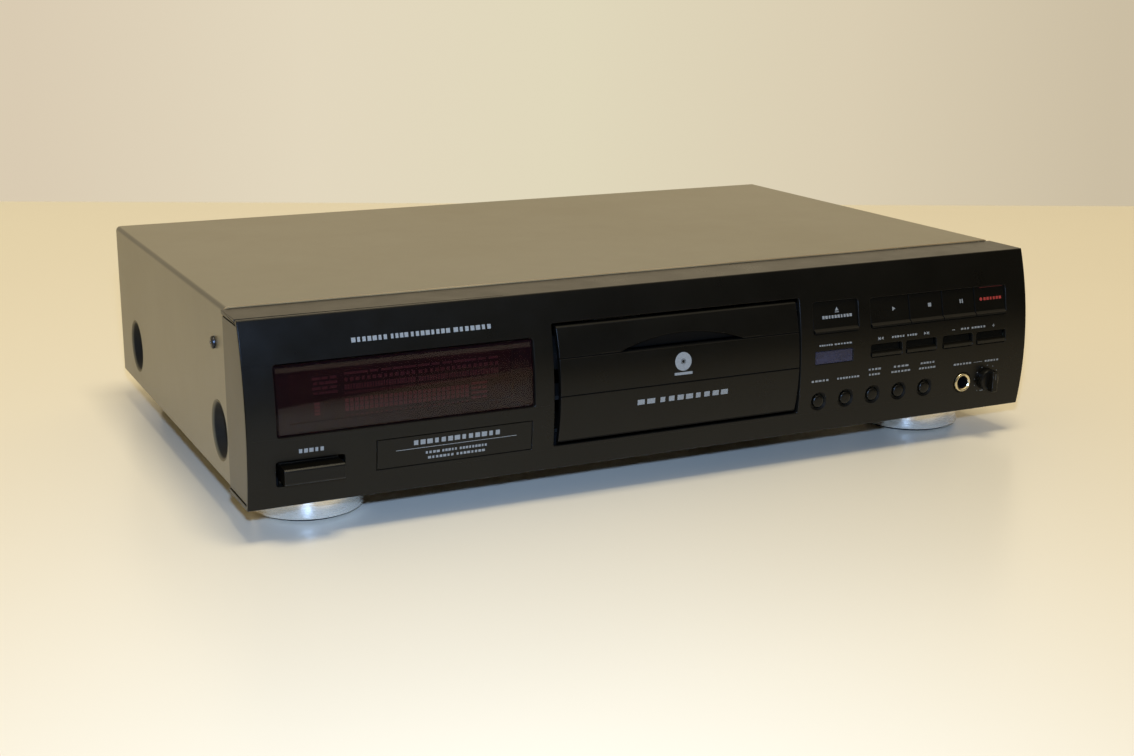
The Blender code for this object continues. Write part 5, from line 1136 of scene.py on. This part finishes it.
class RECORDER_OT_prints(bpy.types.Operator):
    """Lay the printed signs and the plain dashes on the panel and its plate"""

    bl_idname = "recorder.prints"
    bl_label = "Printed signs"

    def execute(self, context):
        left, right, level = RULE_LINE
        rule = stroke(left, right, level - 0.12, level + 0.12)
        x, z = DOOR_MARK
        disc = (ring(x, z, 4.6, 3.2), ring(x, z, 1.15, 0.3), stroke(x - 5.0, x + 5.0, z - 6.6, z - 5.3))
        for name, node, shapes in (
            ("plate_lines", "info_plate", [rule, *self.rows(PLATE_ROWS)]),
            ("panel_signs", "front_panel",
             self.rows(PANEL_ROWS) + self.skip_signs() + self.level_signs() + self.knob_ticks()),
            ("door_signs", "tray_front", [*disc, *self.rows(DOOR_ROWS)]),
        ):
            laid(name, shapes, bpy.data.objects[node + "_finish"], "faint print")
        return {"FINISHED"}

    def rows(self, places):
        """Rows of dashes at these places."""
        return [bar for place in places for bar in dashes(*place)]

    def skip_signs(self):
        """Signs over the skip keys: two arrows against a bar, back and forward."""
        shapes = []
        for x, way in ((121.0, -1), (150.0, 1)):
            for place in (-0.9, 0.9):
                shapes.append(spot(x + place, 63.0, 0.95, 3, way * math.pi / 2))
            shapes.append(stroke(x + way * 1.75 - 0.15, x + way * 1.75 + 0.15, 62.2, 63.8))
        return shapes

    def level_signs(self):
        """A minus and a plus over the level keys, and a rule between the last two rows."""
        return [stroke(167.2, 168.9, 62.85, 63.15), stroke(194.2, 195.9, 62.85, 63.15),
                stroke(194.9, 195.2, 62.15, 62.84), stroke(194.9, 195.2, 63.16, 63.85),
                stroke(183.0, 188.6, 43.5, 43.7), stroke(189.6, 191.6, 26.6, 27.0)]

    def knob_ticks(self):
        """Dots round the level knob."""
        x, z, radius = KNOB_DIAL
        turns = [math.radians(-140 + 280 * step / (TICK_COUNT - 1)) for step in range(TICK_COUNT)]
        return [spot(x + radius * math.sin(turn), z + radius * math.cos(turn), 0.24, 12) for turn in turns]


class RECORDER_OT_rear(bpy.types.Operator):
    """Finish the sockets in the rear panel with metal sleeves, inserts and screws"""

    bl_idname = "recorder.rear"
    bl_label = "Rear sockets"

    def execute(self, context):
        for node in ("analog_jacks", "digital_jacks", "mains_inlet"):
            finished(node, "socket", "black_plastic", 0.0002)
        analog_x, _, level = front_of("analog_jacks")
        digital_x = front_of("digital_jacks")[0]
        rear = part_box("rear_panel")[1].y
        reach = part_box("analog_jacks")[1].y - rear
        sleeve_rings = [(0.00425, 0.0002), (0.0066, 0.0002), (0.0066, 0.0010), (0.0060, 0.0014), (0.00445, 0.0014),
                        (0.00445, reach - 0.0004), (0.0041, reach), (0.0034, reach), (0.0033, reach - 0.0005)]
        insert_rings = [(0.0033, reach - 0.0016), (0.0033, reach - 0.00045), (0.0021, reach - 0.00045),
                        (0.0020, reach - 0.0009)]
        places = [("analog", analog_x + dx, level + dz, "red socket" if dx > 0 else "white socket")
                  for dx in (-0.009, 0.009) for dz in (-0.009, 0.009)]
        places += [("digital", digital_x + dx, level - 0.009, "orange socket") for dx in (-0.009, 0.009)]
        for number, (kind, x, z, insert) in enumerate(places):
            sleeve = turned("%s_sleeve_%d" % (kind, number), sleeve_rings, (x, rear, z), "Y", 48)
            dress(sleeve, "case", "plated", "jack_metal")
            plug = turned("%s_insert_%d" % (kind, number), insert_rings, (x, rear, z), "Y", 40)
            dress(plug, "case", insert, "black_plastic")
        for number, (x, z) in enumerate(REAR_SCREWS):
            screw = turned("rear_screw_%d" % number, SCREW_RINGS, (x, rear, z), "Y", 24)
            dress(screw, "case", "screw", "screw_black")
        return {"FINISHED"}


class RECORDER_OT_stage(bpy.types.Operator):
    """Set the table, the wall's light, the lamps and the camera"""

    bl_idname = "recorder.stage"
    bl_label = "Stage"

    def execute(self, context):
        stage = context.scene.recorder_stage
        context.scene.view_settings.view_transform = "Standard"
        ahead, up = self.camera(context, stage)
        self.table(stage)
        self.room(context, stage)
        self.lamp("ceiling_lamp", (0.0, -0.7, 3.0), (0.0, -0.1, 0.05), 1.0, stage.ceiling_power, (1.0, 0.91, 0.66))
        flash = Vector(stage.camera_place) + up * stage.flash_rise
        self.lamp("flash", flash, flash + ahead, 0.03, stage.flash_power, (0.38, 0.59, 1.0), 110.0)
        return {"FINISHED"}

    def camera(self, context, stage):
        """The camera at the photograph's place, and its two ways, ahead and up."""
        turn, dip, roll = stage.heading, stage.dip, stage.roll
        ahead = Vector((math.sin(turn) * math.cos(dip), math.cos(turn) * math.cos(dip), -math.sin(dip)))
        right = Vector((math.cos(turn), -math.sin(turn), 0))
        up = right.cross(ahead)
        across = right * math.cos(roll) + up * math.sin(roll)
        upward = up * math.cos(roll) - right * math.sin(roll)
        data = bpy.data.cameras.new("camera")
        data.lens = stage.lens
        data.sensor_width = 36.0
        data.clip_start = 0.01
        data.clip_end = 50.0
        camera = bpy.data.objects.new("camera", data)
        context.scene.collection.objects.link(camera)
        camera.matrix_world = Matrix((
            (across.x, upward.x, -ahead.x, stage.camera_place[0]),
            (across.y, upward.y, -ahead.y, stage.camera_place[1]),
            (across.z, upward.z, -ahead.z, stage.camera_place[2]),
            (0, 0, 0, 1)))
        context.scene.camera = camera
        return ahead, upward

    def table(self, stage):
        """A pale table whose back edge lies across the camera's way."""
        leave_edit()
        turn = stage.heading
        ahead = Vector((math.sin(turn), math.cos(turn), 0))
        back = Vector(stage.camera_place).dot(ahead) + stage.table_reach
        middle = ahead * (back - TABLE_DEPTH / 2)
        bpy.ops.mesh.primitive_plane_add(size=1, location=(middle.x, middle.y, 0), rotation=(0, 0, -turn))
        table = named("table")
        table.scale = (TABLE_WIDTH, TABLE_DEPTH, 1)
        settle(table)
        material, tree, shader, place = shader_of("pale table")
        cloud = banded(tree, noise(tree, place, 2.2, 3.0), 0.3, 0.7, 0.0, 0.02)
        # Painted shade and light: the table is darker and warmer near the camera, lighter and bluer far off
        near, far = (tuple(part * share for part, share in zip(stage.table_colour, tint)) for tint in TABLE_SHADE_AND_LIGHT)
        even = blended(tree, banded(tree, along(tree, place, (-0.3, 1.0, 0.0)), -0.6, 0.95), near, far)
        joined(tree, shader, {"Base Color": blended(tree, cloud, even, BLACK), "Roughness": 0.3})
        grained(tree, shader, noise(tree, place, 900.0, 2.0), 0.000005)
        skew = along(tree, place, (stage.table_skew, 1.0, 0.0))
        beyond = banded(tree, skew, stage.table_front, stage.table_front - 0.012)
        aside = banded(tree, parts_of(tree, place)["X"], stage.table_side - 0.12, stage.table_side + 0.25)
        glossy = added(tree, "LightPath").outputs["Is Glossy Ray"]
        off_table = reckoned(tree, "MULTIPLY", reckoned(tree, "MAXIMUM", beyond, aside), glossy)
        dark = added(tree, "Emission", {"Color": (0.040, 0.035, 0.026, 1)})
        mix = added(tree, "MixShader", {"Fac": off_table, 1: shader.outputs["BSDF"], 2: dark.outputs["Emission"]})
        joined(tree, tree.nodes["Material Output"], {"Surface": mix.outputs["Shader"]})
        table.data.materials.append(material)

    def room(self, context, stage):
        """The pale wall ahead, the dim room behind the camera and the light of both."""
        world = bpy.data.worlds.new("room")
        context.scene.world = world
        world.use_nodes = True
        tree = world.node_tree
        tree.nodes.clear()
        way = added(tree, "TexCoord").outputs["Generated"]
        turn = stage.heading
        ahead = along(tree, way, (math.sin(turn), math.cos(turn), 0))
        across = along(tree, way, (math.cos(turn), -math.sin(turn), 0))
        ceiling = banded(tree, along(tree, way, (0, 0, 1)), 0.45, 0.75)
        room = blended(tree, ceiling, (0.024, 0.020, 0.014), (0.78, 0.67, 0.48))
        glossy = blended(tree, banded(tree, ahead, 0.12, 0.32), room, tuple(stage.wall_colour))
        lit = banded(tree, along(tree, way, (-0.30, 0.954, 0)), -0.9, 0.5)
        ambient = blended(tree, lit, (0.09, 0.075, 0.055), (0.62, 0.52, 0.30))
        paths = added(tree, "LightPath").outputs
        unseen = blended(tree, paths["Is Glossy Ray"], ambient, glossy)
        # The wall seen by the camera is lightest near ahead and darker towards both sides, most to the right:
        # painted light and shade
        wall = added(tree, "ValToRGB", {"Fac": banded(tree, across, -0.31, 0.31)})
        stops = wall.color_ramp.elements
        stops[0].color = (0.70, 0.60, 0.45, 1)
        stops[1].color = (0.60, 0.515, 0.37, 1)
        stops.new(0.25).color = (0.765, 0.68, 0.515, 1)
        stops.new(0.5).color = (0.75, 0.685, 0.50, 1)
        stops.new(0.77).color = (0.70, 0.612, 0.447, 1)
        seen = blended(tree, paths["Is Camera Ray"], unseen, wall.outputs["Color"])
        back = added(tree, "Background", {"Color": seen})
        added(tree, "OutputWorld", {"Surface": back.outputs["Background"]})

    def lamp(self, name, place, target, size, power, colour, spread=180.0):
        """A square lamp turned towards a point, its beam held to an angle."""
        data = bpy.data.lights.new(name, "AREA")
        data.spread = math.radians(spread)
        data.size = size
        data.energy = power
        data.color = colour
        lamp = bpy.data.objects.new(name, data)
        bpy.context.scene.collection.objects.link(lamp)
        lamp.location = place
        lamp.rotation_mode = "QUATERNION"
        lamp.rotation_quaternion = (Vector(target) - Vector(place)).to_track_quat("-Z", "Y")


OPERATORS = (
    RECORDER_OT_finishes, RECORDER_OT_panel, RECORDER_OT_case, RECORDER_OT_feet, RECORDER_OT_display,
    RECORDER_OT_tray, RECORDER_OT_boards, RECORDER_OT_keys, RECORDER_OT_round_keys,
    RECORDER_OT_knob_and_jack, RECORDER_OT_prints, RECORDER_OT_rear, RECORDER_OT_stage,
)


class VIEW3D_PT_recorder(bpy.types.Panel):
    """Steps that dress the recorder, and its settings"""

    bl_label = "CD recorder"
    bl_idname = "VIEW3D_PT_recorder"
    bl_space_type = "VIEW_3D"
    bl_region_type = "UI"
    bl_category = "Recorder"

    def draw(self, context):
        for step in OPERATORS:
            self.layout.operator(step.bl_idname)
        for settings in (context.scene.recorder_finish, context.scene.recorder_stage):
            for name in settings.__annotations__:
                self.layout.prop(settings, name)


CLASSES = (RecorderFinish, RecorderStage, *OPERATORS, VIEW3D_PT_recorder)


def register():
    for item in CLASSES:
        bpy.utils.register_class(item)
    bpy.types.Scene.recorder_finish = PointerProperty(type=RecorderFinish)
    bpy.types.Scene.recorder_stage = PointerProperty(type=RecorderStage)


def unregister():
    del bpy.types.Scene.recorder_stage
    del bpy.types.Scene.recorder_finish
    for item in reversed(CLASSES):
        bpy.utils.unregister_class(item)


def main():
    """Register the add-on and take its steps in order."""
    register()
    for step in OPERATORS:
        group, name = step.bl_idname.split(".")
        getattr(getattr(bpy.ops, group), name)()


if __name__ == "__main__":
    main()
